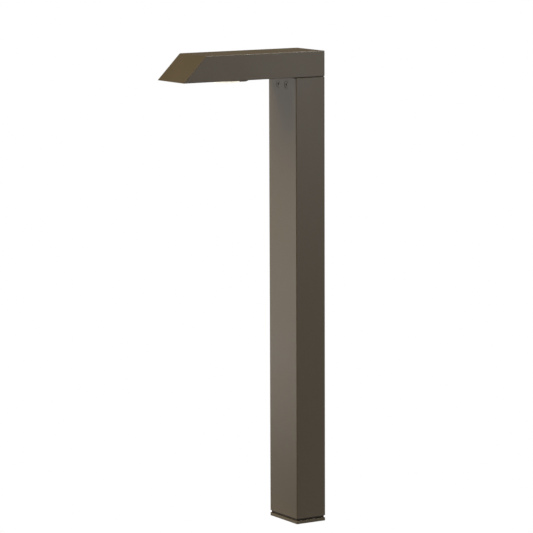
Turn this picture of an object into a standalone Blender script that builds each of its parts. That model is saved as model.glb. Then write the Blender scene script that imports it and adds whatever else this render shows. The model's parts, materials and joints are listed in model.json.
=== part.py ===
"""Bollard light: a rectangular post that carries a flat, wedge-nosed head with its lamp underneath.

Frame: metres, +Z up.  The origin is the centre of the base's underside, on the post's axis.
The head reaches forward along -Y, the post's wide faces look along Y and its narrow ones along X.
"""

import math

import bmesh
import bpy
from mathutils import Vector

MM = 0.001
GAP = 0.3 * MM                     # clearance left between two pieces that touch

# Driving sizes
TOTAL_HEIGHT = 711.2 * MM          # 28 in
POST_WIDTH = 76.2 * MM             # 3 in, along X
POST_DEPTH = 50.8 * MM             # 2 in, along Y
POST_WALL = 3.2 * MM
POST_EASE = 0.4 * MM               # rounding of the post's two ends
POST_CORNER = 1.2 * MM
HEAD_HEIGHT = 38.1 * MM            # 1.5 in
HEAD_REACH = 243.0 * MM            # back face to nose tip, along the underside
NOSE_ANGLE = math.radians(45.0)    # between the nose face and the underside
BASE_PLATE = 4.8 * MM
BASE_REVEAL = 3.2 * MM             # shadow groove over the base plate
NECK_REVEAL = 1.0 * MM             # shadow groove under the head
BASE_GROOVE = 1.6 * MM             # how far the gaskets stand back from the post's faces
NECK_GROOVE = 0.4 * MM
EDGE = 1.0 * MM                    # eased outer edges of the head

# Head casting
SIDE_WALL = 3.0 * MM
ROOF = 4.0 * MM
FLOOR = 7.0 * MM
NOSE_WALL = 3.5 * MM

# Lamp, on the head's centre plane
LAMP_Y = -123.5 * MM
LENS_RADIUS = 21.5 * MM
LENS_FLANGE = 24.0 * MM
LENS_DROP = 4.7 * MM               # how far the lens hangs under the head
BEZEL_RADIUS = 31.0 * MM
SHIELD_BACK_Y = -96.0 * MM
SHIELD_WIDTH = 35.0 * MM
SHIELD_DROP = 3.5 * MM

# Screws: thread radii
M5 = 2.5 * MM
M4 = 2.0 * MM
M3 = 1.5 * MM
M2_5 = 1.25 * MM
NECK_SCREW_X = 11.0 * MM
NECK_SCREW_DROP = 10.8 * MM        # screw centres below the post's top
BASE_SCREW_X = 20.0 * MM
BASE_SCREW_Z = 28.0 * MM

# Worked out from the sizes above
HEAD_BASE = TOTAL_HEIGHT - HEAD_HEIGHT
POST_TOP = HEAD_BASE - NECK_REVEAL
POST_BASE = BASE_PLATE + BASE_REVEAL
BACK_Y = POST_DEPTH / 2
FRONT_Y = -POST_DEPTH / 2
BORE_WIDTH = POST_WIDTH - 2 * POST_WALL
BORE_DEPTH = POST_DEPTH - 2 * POST_WALL
PLUG_WIDTH = BORE_WIDTH - 2 * GAP  # of the castings that enter the post's ends
PLUG_DEPTH = BORE_DEPTH - 2 * GAP
NOSE_TIP_Y = BACK_Y - HEAD_REACH
NECK_SCREW_Z = POST_TOP - NECK_SCREW_DROP

CORNER_STEPS = 4
DOWN = Vector((0, 0, -1))
UP = Vector((0, 0, 1))
FORWARD = Vector((0, -1, 0))
BACKWARD = Vector((0, 1, 0))


# ---------------------------------------------------------------- finishes

def srgb(red, green, blue):
    """Linear colour of an 8-bit sRGB one."""
    channels = []
    for value in (red, green, blue):
        level = value / 255
        channels.append(level / 12.92 if level <= 0.04045 else ((level + 0.055) / 1.055) ** 2.4)
    return (*channels, 1.0)


FINISHES = {
    "bronze_paint": (srgb(92, 82, 70), 0.45, 0.15),
    "bronze_screw": (srgb(88, 79, 68), 0.4, 0.3),
    "cast_aluminium": (srgb(168, 168, 166), 0.5, 0.9),
    "steel": (srgb(176, 176, 178), 0.35, 1.0),
    "rubber": (srgb(44, 36, 28), 0.8, 0.0),
    "frosted_lens": (srgb(246, 238, 220), 0.3, 0.0),
    "mirror_coat": (srgb(225, 225, 228), 0.12, 1.0),
    "board_white": (srgb(228, 230, 228), 0.45, 0.0),
    "phosphor": (srgb(240, 205, 90), 0.5, 0.0),
    "pad_grey": (srgb(130, 150, 165), 0.8, 0.0),
    "driver_black": (srgb(38, 38, 40), 0.55, 0.0),
    "nylon": (srgb(232, 228, 215), 0.5, 0.0),
    "splice_cap": (srgb(70, 82, 120), 0.5, 0.0),
    "brass": (srgb(186, 152, 84), 0.3, 1.0),
    "lead_red": (srgb(165, 32, 28), 0.45, 0.0),
    "lead_black": (srgb(24, 24, 25), 0.45, 0.0),
    "lead_white": (srgb(225, 224, 220), 0.45, 0.0),
    "lead_green": (srgb(36, 112, 52), 0.45, 0.0),
}


def finish(name, label):
    """A node's own material, in one of the finishes above."""
    colour, roughness, metallic = FINISHES[label]
    material = bpy.data.materials.new(name + "_" + label)
    material.use_nodes = True
    shader = material.node_tree.nodes["Principled BSDF"]
    shader.inputs["Base Color"].default_value = colour
    shader.inputs["Roughness"].default_value = roughness
    shader.inputs["Metallic"].default_value = metallic
    material.diffuse_color = colour
    return material


# ---------------------------------------------------------------- building tools

def empty_scene():
    """Remove whatever the scene holds."""
    for thing in list(bpy.data.objects):
        bpy.data.objects.remove(thing, do_unlink=True)


def place(name, mesh, label, group):
    """Put a mesh in the scene as the node of that name, in its finish, under its group."""
    node = bpy.data.objects.new(name, mesh)
    bpy.context.scene.collection.objects.link(node)
    node.parent = group
    if label:
        mesh.materials.append(finish(name, label))
    return node


def sub_assembly(name):
    """An empty that the nodes of one sub-assembly hang from."""
    group = bpy.data.objects.new(name, None)
    bpy.context.scene.collection.objects.link(group)
    return group


def add_rings(bm, rings, closed):
    """Skin a stack of rings; one point makes an apex, and open stacks get flat caps."""
    rows = [[bm.verts.new(point) for point in ring] for ring in rings]
    pairs = list(zip(rows, rows[1:]))
    if closed:
        pairs.append((rows[-1], rows[0]))
    else:
        for end in (rows[0], rows[-1]):
            if len(end) > 2:
                bm.faces.new(end)
    for first, second in pairs:
        count = max(len(first), len(second))
        for i in range(count):
            j = (i + 1) % count
            corners = [first[i % len(first)], first[j % len(first)]]
            corners += [second[j % len(second)], second[i % len(second)]]
            bm.faces.new(list(dict.fromkeys(corners)))


def lofted(name, stacks, label, group, closed=False):
    """A body skinned over rings of points; a cutter may hold several stacks."""
    mesh = bpy.data.meshes.new(name)
    bm = bmesh.new()
    for rings in stacks:
        add_rings(bm, rings, closed)
    bmesh.ops.recalc_face_normals(bm, faces=bm.faces)
    bm.to_mesh(mesh)
    bm.free()
    mesh.shade_smooth()
    mesh.set_sharp_from_angle(angle=math.radians(35))
    return place(name, mesh, label, group)


def rounded_rect(width, depth, radius, z, centre_y=0.0):
    """Points of a rounded rectangle at height z."""
    points = []
    corners = ((1, 1), (-1, 1), (-1, -1), (1, -1))
    for quarter, (side, end) in enumerate(corners):
        for step in range(CORNER_STEPS + 1):
            turn = math.radians(90) * (quarter + step / CORNER_STEPS)
            x = side * (width / 2 - radius) + radius * math.cos(turn)
            y = centre_y + end * (depth / 2 - radius) + radius * math.sin(turn)
            points.append(Vector((x, y, z)))
    return points


def circle(radius, z, segments, centre=(0.0, 0.0), six_sided=False):
    """Points of a circle, or of a hexagon whose half width across the flats is the radius."""
    points = []
    for step in range(segments):
        turn = math.tau * step / segments
        off_flat = (turn + math.pi / 6) % (math.pi / 3) - math.pi / 6
        reach = radius / math.cos(off_flat) if six_sided else radius
        x = centre[0] + reach * math.cos(turn)
        y = centre[1] + reach * math.sin(turn)
        points.append(Vector((x, y, z)))
    return points


def turned_rings(profile, segments):
    """Rings of a turned profile; an entry is (radius, height) or (radius, height, True) for a hexagon."""
    rings = []
    for radius, height, *six_sided in profile:
        if radius == 0:
            rings.append([Vector((0, 0, height))])
        else:
            rings.append(circle(radius, height, segments, six_sided=bool(six_sided)))
    return rings


def turned(name, profile, label, group, at=(0, 0, 0), axis=UP, segments=24, closed=False):
    """A turned body at a point, with its own +Z along the axis given."""
    node = lofted(name, [turned_rings(profile, segments)], label, group, closed)
    node.location = at
    node.rotation_mode = "QUATERNION"
    node.rotation_quaternion = axis.to_track_quat("Z", "Y")
    return node


def arc(centre_r, centre_z, radius, start, end, steps):
    """Profile points along an arc, in degrees from the +radius direction."""
    points = []
    for step in range(steps + 1):
        turn = math.radians(start + (end - start) * step / steps)
        points.append((centre_r + radius * math.cos(turn), centre_z + radius * math.sin(turn)))
    return points


def box_rings(low, high):
    """Rings of a plain block between two corners."""
    rings = []
    for z in (low[2], high[2]):
        rings.append([
            Vector((high[0], high[1], z)),
            Vector((low[0], high[1], z)),
            Vector((low[0], low[1], z)),
            Vector((high[0], low[1], z)),
        ])
    return rings


def block(name, low, high, label, group, ease=0.0):
    """A block between two corners, with its edges eased if asked."""
    node = lofted(name, [box_rings(low, high)], label, group)
    if ease:
        ease_edges(node, ease, 2)
    return node


def ease_edges(node, width, segments):
    """Round a body's sharp edges."""
    bevel = node.modifiers.new("eased_edges", "BEVEL")
    bevel.width = width
    bevel.segments = segments
    bevel.limit_method = "ANGLE"
    bevel.angle_limit = math.radians(30)


def combine(node, tool, operation):
    """Join or cut a node with a tool body, which is only a guide and not a piece."""
    tool.hide_render = True
    tool.display_type = "WIRE"
    boolean = node.modifiers.new(tool.name, "BOOLEAN")
    boolean.operation = operation
    boolean.solver = "EXACT"
    boolean.object = tool


def cut(node, tool):
    """Cut a node with a tool body."""
    combine(node, tool, "DIFFERENCE")


def drill(node, name, centres, radius, low, high, segments=24):
    """Upright round holes through a node, all of one size, between two heights."""
    stacks = []
    for centre in centres:
        stacks.append([circle(radius, z, segments, centre) for z in (low, high)])
    cut(node, lofted(name, stacks, None, None))


def drill_along(node, name, at, axis, radius, depth, segments=18):
    """A round hole that goes in against the axis, from just outside the point given."""
    profile = [(0, -depth), (radius, -depth), (radius, 1 * MM), (0, 1 * MM)]
    cut(node, turned(name, profile, None, None, at, axis, segments))


# ---------------------------------------------------------------- screws

def screw_profile(thread, length, head, socket):
    """Profile of a screw from its tip to the floor of its hexagon socket."""
    top = head[-1][1]
    depth = top - 0.9 * thread
    recess = [(socket, top, True), (socket, depth, True), (0, depth)]
    return [(0, -length), (thread, -length), *head, *recess]


def flat_screw(name, face, axis, thread, length, group, segments=18):
    """Countersunk socket screw; its face is sunk a little below the surface at the point given."""
    rim = 0.2 * MM
    head = [(thread, -thread - rim), (2 * thread, -rim), (2 * thread, 0)]
    profile = screw_profile(thread, length, head, 0.6 * thread)
    return turned(name, profile, "bronze_screw", group, Vector(face) - axis * 0.2 * MM, axis, segments)


def flat_screw_seat(node, name, face, axis, thread, segments=18):
    """The countersunk hole for a flat screw, with clearance all round."""
    reach = 12 * MM
    wide = 2 * thread + 0.35 * MM
    narrow = thread + GAP
    cone_end = -(wide - narrow) - 0.4 * MM
    profile = [(0, -reach), (narrow, -reach), (narrow, cone_end), (wide, -0.4 * MM), (wide, MM), (0, MM)]
    cut(node, turned(name, profile, None, None, face, axis, segments))


def pan_screw(name, seat, axis, thread, length, group, segments=12):
    """Low domed screw whose head stands on the point given."""
    head = [(thread, 0), (1.8 * thread, 0), (1.8 * thread, 0.6 * thread), (1.3 * thread, 1.15 * thread)]
    profile = screw_profile(thread, length, head, 0.6 * thread)
    return turned(name, profile, "steel", group, seat, axis, segments)


def cap_screw(name, seat, axis, thread, length, group, segments=12):
    """Socket cap screw whose head stands on the point given."""
    rim = 0.3 * MM
    wide = 1.7 * thread
    head = [(thread, 0), (wide, 0), (wide, 2 * thread - rim), (wide - rim, 2 * thread)]
    profile = screw_profile(thread, length, head, 0.8 * thread)
    return turned(name, profile, "steel", group, seat, axis, segments)


# ---------------------------------------------------------------- leads

def smooth_path(route, per_leg):
    """Points of a smooth curve through the route's own points."""
    knots = [Vector(point) for point in route]
    knots = [2 * knots[0] - knots[1]] + knots + [2 * knots[-1] - knots[-2]]
    points = []
    for before, start, end, after in zip(knots, knots[1:], knots[2:], knots[3:]):
        for step in range(per_leg):
            t = step / per_leg
            bend = (end - before) * t
            bend += (2 * before - 5 * start + 4 * end - after) * t ** 2
            bend += (3 * start - before - 3 * end + after) * t ** 3
            points.append(start + 0.5 * bend)
    points.append(knots[-2])
    return points


def lead(name, route, radius, label, group, per_leg=5):
    """An insulated lead of round section along a smooth route."""
    curve = bpy.data.curves.new(name, "CURVE")
    curve.dimensions = "3D"
    curve.bevel_depth = radius
    curve.bevel_resolution = 2
    curve.use_fill_caps = True
    spline = curve.splines.new("POLY")
    points = smooth_path(route, per_leg)
    spline.points.add(len(points) - 1)
    for knot, point in zip(spline.points, points):
        knot.co = (*point, 1.0)
    spline.use_smooth = True
    node = bpy.data.objects.new(name, curve)
    bpy.context.scene.collection.objects.link(node)
    node.parent = group
    curve.materials.append(finish(name, label))
    return node


# ---------------------------------------------------------------- base

UPSTAND_TOP = 48.0 * MM            # top of the wall that enters the post
UPSTAND_WALL = 4.5 * MM
ENTRY_Y = 9.1 * MM                 # cable entry, behind the centre web
ENTRY_RADIUS = 8.0 * MM
ANCHOR_X = 21.0 * MM
ANCHOR_SLOT = (8.5 * MM, 14.0 * MM)
EARTH_Y = -9.5 * MM
EARTH_BOSS = (5.5 * MM, 8.8 * MM)  # radius, top
LUG_THICK = 0.8 * MM


def base_plate(group):
    """Cast foot: a plate the size of the post with a hollow wall that the post slides over."""
    plate_ease = 0.5 * MM
    wall = UPSTAND_WALL
    inner = (PLUG_WIDTH - 2 * wall, PLUG_DEPTH - 2 * wall)
    rings = [
        rounded_rect(POST_WIDTH, POST_DEPTH, POST_CORNER, 0),
        rounded_rect(POST_WIDTH, POST_DEPTH, POST_CORNER, BASE_PLATE - plate_ease),
        rounded_rect(POST_WIDTH - 2 * plate_ease, POST_DEPTH - 2 * plate_ease, POST_CORNER, BASE_PLATE),
        rounded_rect(PLUG_WIDTH, PLUG_DEPTH, 1 * MM, BASE_PLATE),
        rounded_rect(PLUG_WIDTH, PLUG_DEPTH, 1 * MM, UPSTAND_TOP - MM),
        rounded_rect(PLUG_WIDTH - 2 * MM, PLUG_DEPTH - 2 * MM, 1 * MM, UPSTAND_TOP),
        rounded_rect(*inner, 2 * MM, UPSTAND_TOP),
        rounded_rect(*inner, 2 * MM, BASE_PLATE),
    ]
    plate = lofted("base_plate", [rings], "bronze_paint", group)
    boss_radius, boss_top = EARTH_BOSS
    boss = [(0, 2 * MM), (boss_radius, 2 * MM), (boss_radius, boss_top), (0, boss_top)]
    combine(plate, turned("earth_boss", boss, None, None, (0, EARTH_Y, 0)), "UNION")
    drill(plate, "earth_hole", [(0, EARTH_Y)], M4 + GAP, 1.6 * MM, 12 * MM)
    drill(plate, "entry_hole", [(0, ENTRY_Y)], ENTRY_RADIUS, -2 * MM, 8 * MM)
    slots = []
    breadth, length = ANCHOR_SLOT
    for side in (-1, 1):
        rings = []
        for z in (-2 * MM, 8 * MM):
            outline = rounded_rect(length, breadth, breadth / 2 - 0.01 * MM, z)
            rings.append([point + Vector((side * ANCHOR_X, 0, 0)) for point in outline])
        slots.append(rings)
    cut(plate, lofted("anchor_slots", slots, None, None))
    for side in (-1, 1):
        at = (side * BASE_SCREW_X, PLUG_DEPTH / 2, BASE_SCREW_Z)
        drill_along(plate, "base_screw_thread", at, BACKWARD, M5 + GAP, 8 * MM)
    return plate


def groove_gasket(name, low, high, depth, group):
    """Dark rubber gasket that fills the groove between the post and a neighbour, set back by a depth."""
    outer = (POST_WIDTH - 2 * depth, POST_DEPTH - 2 * depth, 0.6 * MM)
    inner = (PLUG_WIDTH + 2 * GAP, PLUG_DEPTH + 2 * GAP, 1 * MM)
    rings = [
        rounded_rect(*outer, low),
        rounded_rect(*outer, high),
        rounded_rect(*inner, high),
        rounded_rect(*inner, low),
    ]
    return lofted(name, [rings], "rubber", group, closed=True)


def cable_grommet(group):
    """Rubber bush that lines the cable entry in the foot."""
    outer = ENTRY_RADIUS - GAP
    lip = ENTRY_RADIUS + 0.1 * MM
    bore = 5.5 * MM
    top = BASE_PLATE + GAP
    profile = [
        (bore, 0.6 * MM),
        (outer, 0.6 * MM),
        (outer, top),
        (lip, top),
        (lip, top + 1.4 * MM),
        (bore + 0.8 * MM, top + 2.2 * MM),
        (bore, top + 2.2 * MM),
    ]
    at = (0, ENTRY_Y, 0)
    return turned("cable_grommet", profile, "rubber", group, at, closed=True)


def earth_lug(group):
    """Ring terminal on the foot's boss, with its crimp barrel bent up."""
    low = EARTH_BOSS[1] + GAP
    high = low + LUG_THICK
    ring_radius = 5.0 * MM
    tab_x = 9.0 * MM                   # centre of the barrel, off to one side of the ring
    tab_half = 2.0 * MM
    barrel_radius = 2.1 * MM
    barrel_bore = 1.5 * MM
    barrel_low = 5.0 * MM
    barrel_floor = barrel_low + MM
    barrel_top = 12.0 * MM
    ring = [(M4 + GAP, low), (ring_radius, low), (ring_radius, high), (M4 + GAP, high)]
    lug = turned("earth_lug", ring, "brass", group, (0, EARTH_Y, 0), closed=True)
    tongue = box_rings(
        (ring_radius - MM, EARTH_Y - tab_half, low + 0.1 * MM),
        (tab_x + 0.4 * MM, EARTH_Y + tab_half, high - 0.1 * MM),
    )
    combine(lug, lofted("lug_tongue", [tongue], None, None), "UNION")
    riser = box_rings(
        (tab_x - 0.4 * MM, EARTH_Y - tab_half + 0.2 * MM, low + 0.2 * MM),
        (tab_x + 0.3 * MM, EARTH_Y + tab_half - 0.2 * MM, low + barrel_low + 0.5 * MM),
    )
    combine(lug, lofted("lug_riser", [riser], None, None), "UNION")
    barrel = [(0, barrel_low), (barrel_radius, barrel_low), (barrel_radius, barrel_top)]
    barrel += [(barrel_bore, barrel_top), (barrel_bore, barrel_floor), (0, barrel_floor)]
    tube = turned("lug_barrel", barrel, None, None, (tab_x, EARTH_Y, low), segments=12)
    combine(lug, tube, "UNION")
    return Vector((tab_x, EARTH_Y, low + barrel_floor + GAP))


def splice_caps(group):
    """Twist-on caps at the ends of the two supply leads; gives back each cap's inner floor."""
    floors = {}
    places = {"splice_cap_1": (-11 * MM, 2 * MM, 92 * MM), "splice_cap_2": (11 * MM, -4 * MM, 78 * MM)}
    for name, at in places.items():
        profile = [
            (0, 0),
            (3.4 * MM, 0),
            (4.4 * MM, 1.2 * MM),
            (5.6 * MM, 15 * MM),
            (6.6 * MM, 18 * MM),
            (6.6 * MM, 22 * MM),
            (5.0 * MM, 22 * MM),
            (3.6 * MM, 12 * MM),
            (0, 12 * MM),
        ]
        turned(name, profile, "splice_cap", group, at, segments=12)
        floors[name] = Vector(at) + UP * (12 * MM + GAP)
    return floors


def build_base():
    """Foot, groove gasket, cable bush, earth terminal and the screws that hold the post down."""
    group = sub_assembly("base")
    base_plate(group)
    groove_gasket("base_gasket", BASE_PLATE + GAP, POST_BASE - GAP, BASE_GROOVE, group)
    cable_grommet(group)
    lug_mouth = earth_lug(group)
    seat = (0, EARTH_Y, EARTH_BOSS[1] + LUG_THICK + 2 * GAP)
    pan_screw("earth_screw", seat, UP, M4, 7.5 * MM, group)
    for number, side in enumerate((-1, 1), 1):
        face = (side * BASE_SCREW_X, BACK_Y, BASE_SCREW_Z)
        flat_screw(f"base_screw_{number}", face, BACKWARD, M5, 9.0 * MM, group)
    return group, lug_mouth, splice_caps(group)


# ---------------------------------------------------------------- post

def build_post():
    """Rectangular tube, with countersunk holes in front at the neck and behind at the foot."""
    group = sub_assembly("post")
    ease = POST_EASE
    full = (POST_WIDTH, POST_DEPTH)
    eased = (POST_WIDTH - 2 * ease, POST_DEPTH - 2 * ease)
    rings = [
        rounded_rect(*eased, POST_CORNER - ease, POST_BASE),
        rounded_rect(*full, POST_CORNER, POST_BASE + ease),
        rounded_rect(*full, POST_CORNER, POST_TOP - ease),
        rounded_rect(*eased, POST_CORNER - ease, POST_TOP),
        rounded_rect(BORE_WIDTH, BORE_DEPTH, 0.8 * MM, POST_TOP),
        rounded_rect(BORE_WIDTH, BORE_DEPTH, 0.8 * MM, POST_BASE),
    ]
    tube = lofted("post_tube", [rings], "bronze_paint", group, closed=True)
    for side in (-1, 1):
        neck = (side * NECK_SCREW_X, FRONT_Y, NECK_SCREW_Z)
        flat_screw_seat(tube, "neck_screw_seat", neck, FORWARD, M5)
        foot = (side * BASE_SCREW_X, BACK_Y, BASE_SCREW_Z)
        flat_screw_seat(tube, "base_screw_seat", foot, BACKWARD, M5)
    return group


# ---------------------------------------------------------------- neck

SPIGOT_TOP = HEAD_BASE - GAP
SPIGOT_BASE = SPIGOT_TOP - 42.0 * MM
SPIGOT_WALL = 5.0 * MM
SPIGOT_ROOF = SPIGOT_TOP - 6.0 * MM     # underside of its top plate
NECK_BOLTS = [(x * MM, y * MM) for x in (-22, 22) for y in (-10, 10)]
STRAP_THICK = 1.5 * MM
STRAP_FRONT = PLUG_DEPTH / 2 - SPIGOT_WALL - GAP - STRAP_THICK
STRAP_Z = (494.0 * MM, 660.0 * MM)
STRAP_SCREW_X = 7.0 * MM
STRAP_SCREW_Z = 646.0 * MM
DRIVER_BACK = STRAP_FRONT - GAP
DRIVER_SIZE = (34.0 * MM, 22.0 * MM)
DRIVER_Z = (508.0 * MM, 612.0 * MM)
TAB_THICK = 2.0 * MM
DRIVER_SCREWS = (DRIVER_Z[0] - 5 * MM, DRIVER_Z[1] + 5 * MM)


def neck_spigot(group):
    """Hollow casting bolted under the head, which slides into the post's top."""
    inner = (PLUG_WIDTH - 2 * SPIGOT_WALL, PLUG_DEPTH - 2 * SPIGOT_WALL)
    rings = [
        rounded_rect(PLUG_WIDTH, PLUG_DEPTH, 1 * MM, SPIGOT_TOP),
        rounded_rect(PLUG_WIDTH, PLUG_DEPTH, 1 * MM, SPIGOT_BASE + 1.5 * MM),
        rounded_rect(PLUG_WIDTH - 2 * MM, PLUG_DEPTH - 2 * MM, 1 * MM, SPIGOT_BASE),
        rounded_rect(*inner, 2 * MM, SPIGOT_BASE),
        rounded_rect(*inner, 2 * MM, SPIGOT_ROOF),
    ]
    spigot = lofted("neck_spigot", [rings], "cast_aluminium", group)
    drill(spigot, "spigot_wire_hole", [(0, 0)], 8 * MM, SPIGOT_ROOF - MM, SPIGOT_TOP + MM, 18)
    drill(spigot, "spigot_bolt_holes", NECK_BOLTS, M5 + GAP, SPIGOT_ROOF - MM, SPIGOT_TOP + MM, 12)
    for side in (-1, 1):
        at = (side * NECK_SCREW_X, -PLUG_DEPTH / 2, NECK_SCREW_Z)
        drill_along(spigot, "neck_screw_thread", at, FORWARD, M5 + GAP, 8 * MM)
        at = (side * STRAP_SCREW_X, PLUG_DEPTH / 2, STRAP_SCREW_Z)
        drill_along(spigot, "strap_screw_thread", at, BACKWARD, M4 + GAP, 8 * MM, 12)
    return spigot


def wire_grommet(group):
    """Rubber bush in the spigot's top plate."""
    profile = [
        (3.2 * MM, SPIGOT_ROOF - GAP - 1.6 * MM),
        (10 * MM, SPIGOT_ROOF - GAP - 1.6 * MM),
        (10 * MM, SPIGOT_ROOF - GAP),
        (8 * MM - GAP, SPIGOT_ROOF - GAP),
        (8 * MM - GAP, SPIGOT_TOP - GAP),
        (3.2 * MM, SPIGOT_TOP - GAP),
    ]
    return turned("wire_grommet", profile, "rubber", group, segments=18, closed=True)


def driver_strap(group):
    """Steel strap that hangs the driver from the spigot."""
    strap = block(
        "driver_strap",
        (-12 * MM, STRAP_FRONT, STRAP_Z[0]),
        (12 * MM, STRAP_FRONT + STRAP_THICK, STRAP_Z[1]),
        "steel", group, 0.3 * MM,
    )
    for side in (-1, 1):
        at = (side * STRAP_SCREW_X, STRAP_FRONT, STRAP_SCREW_Z)
        drill_along(strap, "strap_screw_hole", at, FORWARD, M4 + GAP, 4 * MM, 12)
    for z in DRIVER_SCREWS:
        drill_along(strap, "driver_screw_hole", (0, STRAP_FRONT, z), FORWARD, M3 + GAP, 4 * MM, 12)
    return strap


def led_driver(group):
    """Potted driver with a screw tab at each end."""
    width, depth = DRIVER_SIZE
    low = (-width / 2, DRIVER_BACK - depth, DRIVER_Z[0])
    high = (width / 2, DRIVER_BACK, DRIVER_Z[1])
    driver = block("led_driver", low, high, "driver_black", group, 1.2 * MM)
    reach = 10 * MM
    tabs = box_rings(
        (-7 * MM, DRIVER_BACK - TAB_THICK, DRIVER_Z[0] - reach),
        (7 * MM, DRIVER_BACK - 0.05 * MM, DRIVER_Z[1] + reach),
    )
    combine(driver, lofted("driver_tabs", [tabs], None, None), "UNION")
    for z in DRIVER_SCREWS:
        at = (0, DRIVER_BACK - TAB_THICK, z)
        drill_along(driver, "driver_tab_hole", at, FORWARD, M3 + GAP, 4 * MM, 12)
    return driver


def build_neck():
    """Spigot, its bolts and screws, and the driver that hangs from it inside the post."""
    group = sub_assembly("neck")
    neck_spigot(group)
    groove_gasket("neck_gasket", POST_TOP + GAP, HEAD_BASE - GAP, NECK_GROOVE, group)
    wire_grommet(group)
    for number, (x, y) in enumerate(NECK_BOLTS, 1):
        seat = (x, y, SPIGOT_ROOF - GAP)
        cap_screw(f"neck_bolt_{number}", seat, DOWN, M5, 12.5 * MM, group)
    for number, side in enumerate((-1, 1), 1):
        face = (side * NECK_SCREW_X, FRONT_Y, NECK_SCREW_Z)
        flat_screw(f"neck_screw_{number}", face, FORWARD, M5, 9.8 * MM, group)
    driver_strap(group)
    led_driver(group)
    for number, side in enumerate((-1, 1), 1):
        seat = (side * STRAP_SCREW_X, STRAP_FRONT - GAP, STRAP_SCREW_Z)
        pan_screw(f"strap_screw_{number}", seat, FORWARD, M4, 6.3 * MM, group)
    for number, z in enumerate(DRIVER_SCREWS, 1):
        seat = (0, DRIVER_BACK - TAB_THICK - GAP, z)
        pan_screw(f"driver_screw_{number}", seat, FORWARD, M3, 5 * MM, group)
    return group


# ---------------------------------------------------------------- head

COVER_THICK = 2.6 * MM
COVER_SIZE = (66.0 * MM, 106.0 * MM)
COVER_Y = -119.0 * MM
COVER_CORNER = 6.0 * MM
COVER_SCREWS = [(x * MM, COVER_Y + y * MM) for x in (-28.8, 28.8) for y in (-48, 48)]
COVER_TOP = HEAD_BASE + COVER_THICK
APERTURE_SIZE = (51.0 * MM, 81.0 * MM)
APERTURE_Y = -119.5 * MM
LEDGE = COVER_TOP + 1.2 * MM            # underside of the ledge that the cover closes on
HEAD_FLOOR = HEAD_BASE + FLOOR
HEAD_CEILING = TOTAL_HEIGHT - ROOF
BEZEL_LOW = HEAD_BASE - 1.2 * MM
BEZEL_TOP = HEAD_BASE + 0.5 * MM        # it is let into the cover
LENS_SEAT = BEZEL_TOP + GAP
REFLECTOR_LOW = HEAD_BASE + 3.9 * MM
BOARD_LOW = HEAD_BASE + 24.2 * MM
BOARD_RADIUS = 20.0 * MM
BOARD_THICK = 1.6 * MM
PAD_LOW = BOARD_LOW + BOARD_THICK + GAP
PAD_THICK = 0.5 * MM
PLATE_LOW = PAD_LOW + PAD_THICK + GAP
PLATE_TOP = HEAD_CEILING - GAP
BOARD_SCREW_X = 16.0 * MM
PLATE_SCREW_Y = 28.0 * MM


def nose_line(z, inset=0.0):
    """Y of the nose face at height z, or of a face set in behind it."""
    return NOSE_TIP_Y + (z - HEAD_BASE) / math.tan(NOSE_ANGLE) + inset / math.sin(NOSE_ANGLE)


def side_profile(back, low, high, inset, x):
    """The head's outline, seen from the side, at one X."""
    corners = ((back, low), (back, high), (nose_line(high, inset), high), (nose_line(low, inset), low))
    return [Vector((x, y, z)) for y, z in corners]


def head_housing(group):
    """Cast head: a hollow box with a slanted nose, open below where the lamp goes in."""
    half = POST_WIDTH / 2
    outer = [side_profile(BACK_Y, HEAD_BASE, TOTAL_HEIGHT, 0, x) for x in (-half, half)]
    housing = lofted("head_housing", [outer], "bronze_paint", group)
    ease_edges(housing, EDGE, 3)
    half -= SIDE_WALL
    back = BACK_Y - SIDE_WALL
    hollow = [side_profile(back, HEAD_FLOOR, HEAD_CEILING, NOSE_WALL, x) for x in (-half, half)]
    cut(housing, lofted("head_hollow", [hollow], None, None))
    rebate = (COVER_SIZE[0] + 2 * GAP, COVER_SIZE[1] + 2 * GAP, COVER_CORNER + GAP)
    rings = [rounded_rect(*rebate, z, COVER_Y) for z in (HEAD_BASE - MM, LEDGE)]
    cut(housing, lofted("cover_rebate", [rings], None, None))
    rings = [rounded_rect(*APERTURE_SIZE, 8 * MM, z, APERTURE_Y) for z in (HEAD_BASE, HEAD_FLOOR + MM)]
    cut(housing, lofted("lamp_aperture", [rings], None, None))
    drill(housing, "head_wire_hole", [(0, 0)], 6 * MM, HEAD_BASE - MM, HEAD_FLOOR + MM)
    drill(housing, "head_bolt_holes", NECK_BOLTS, M5 + GAP, HEAD_BASE - MM, HEAD_FLOOR + MM, 12)
    drill(housing, "cover_screw_holes", COVER_SCREWS, M3 + GAP, HEAD_BASE, HEAD_FLOOR + MM, 12)
    places = [(0, LAMP_Y - PLATE_SCREW_Y), (0, LAMP_Y + PLATE_SCREW_Y)]
    drill(housing, "heat_plate_holes", places, M3 + GAP, HEAD_CEILING - MM, HEAD_CEILING + 2.6 * MM, 12)
    return housing


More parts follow.
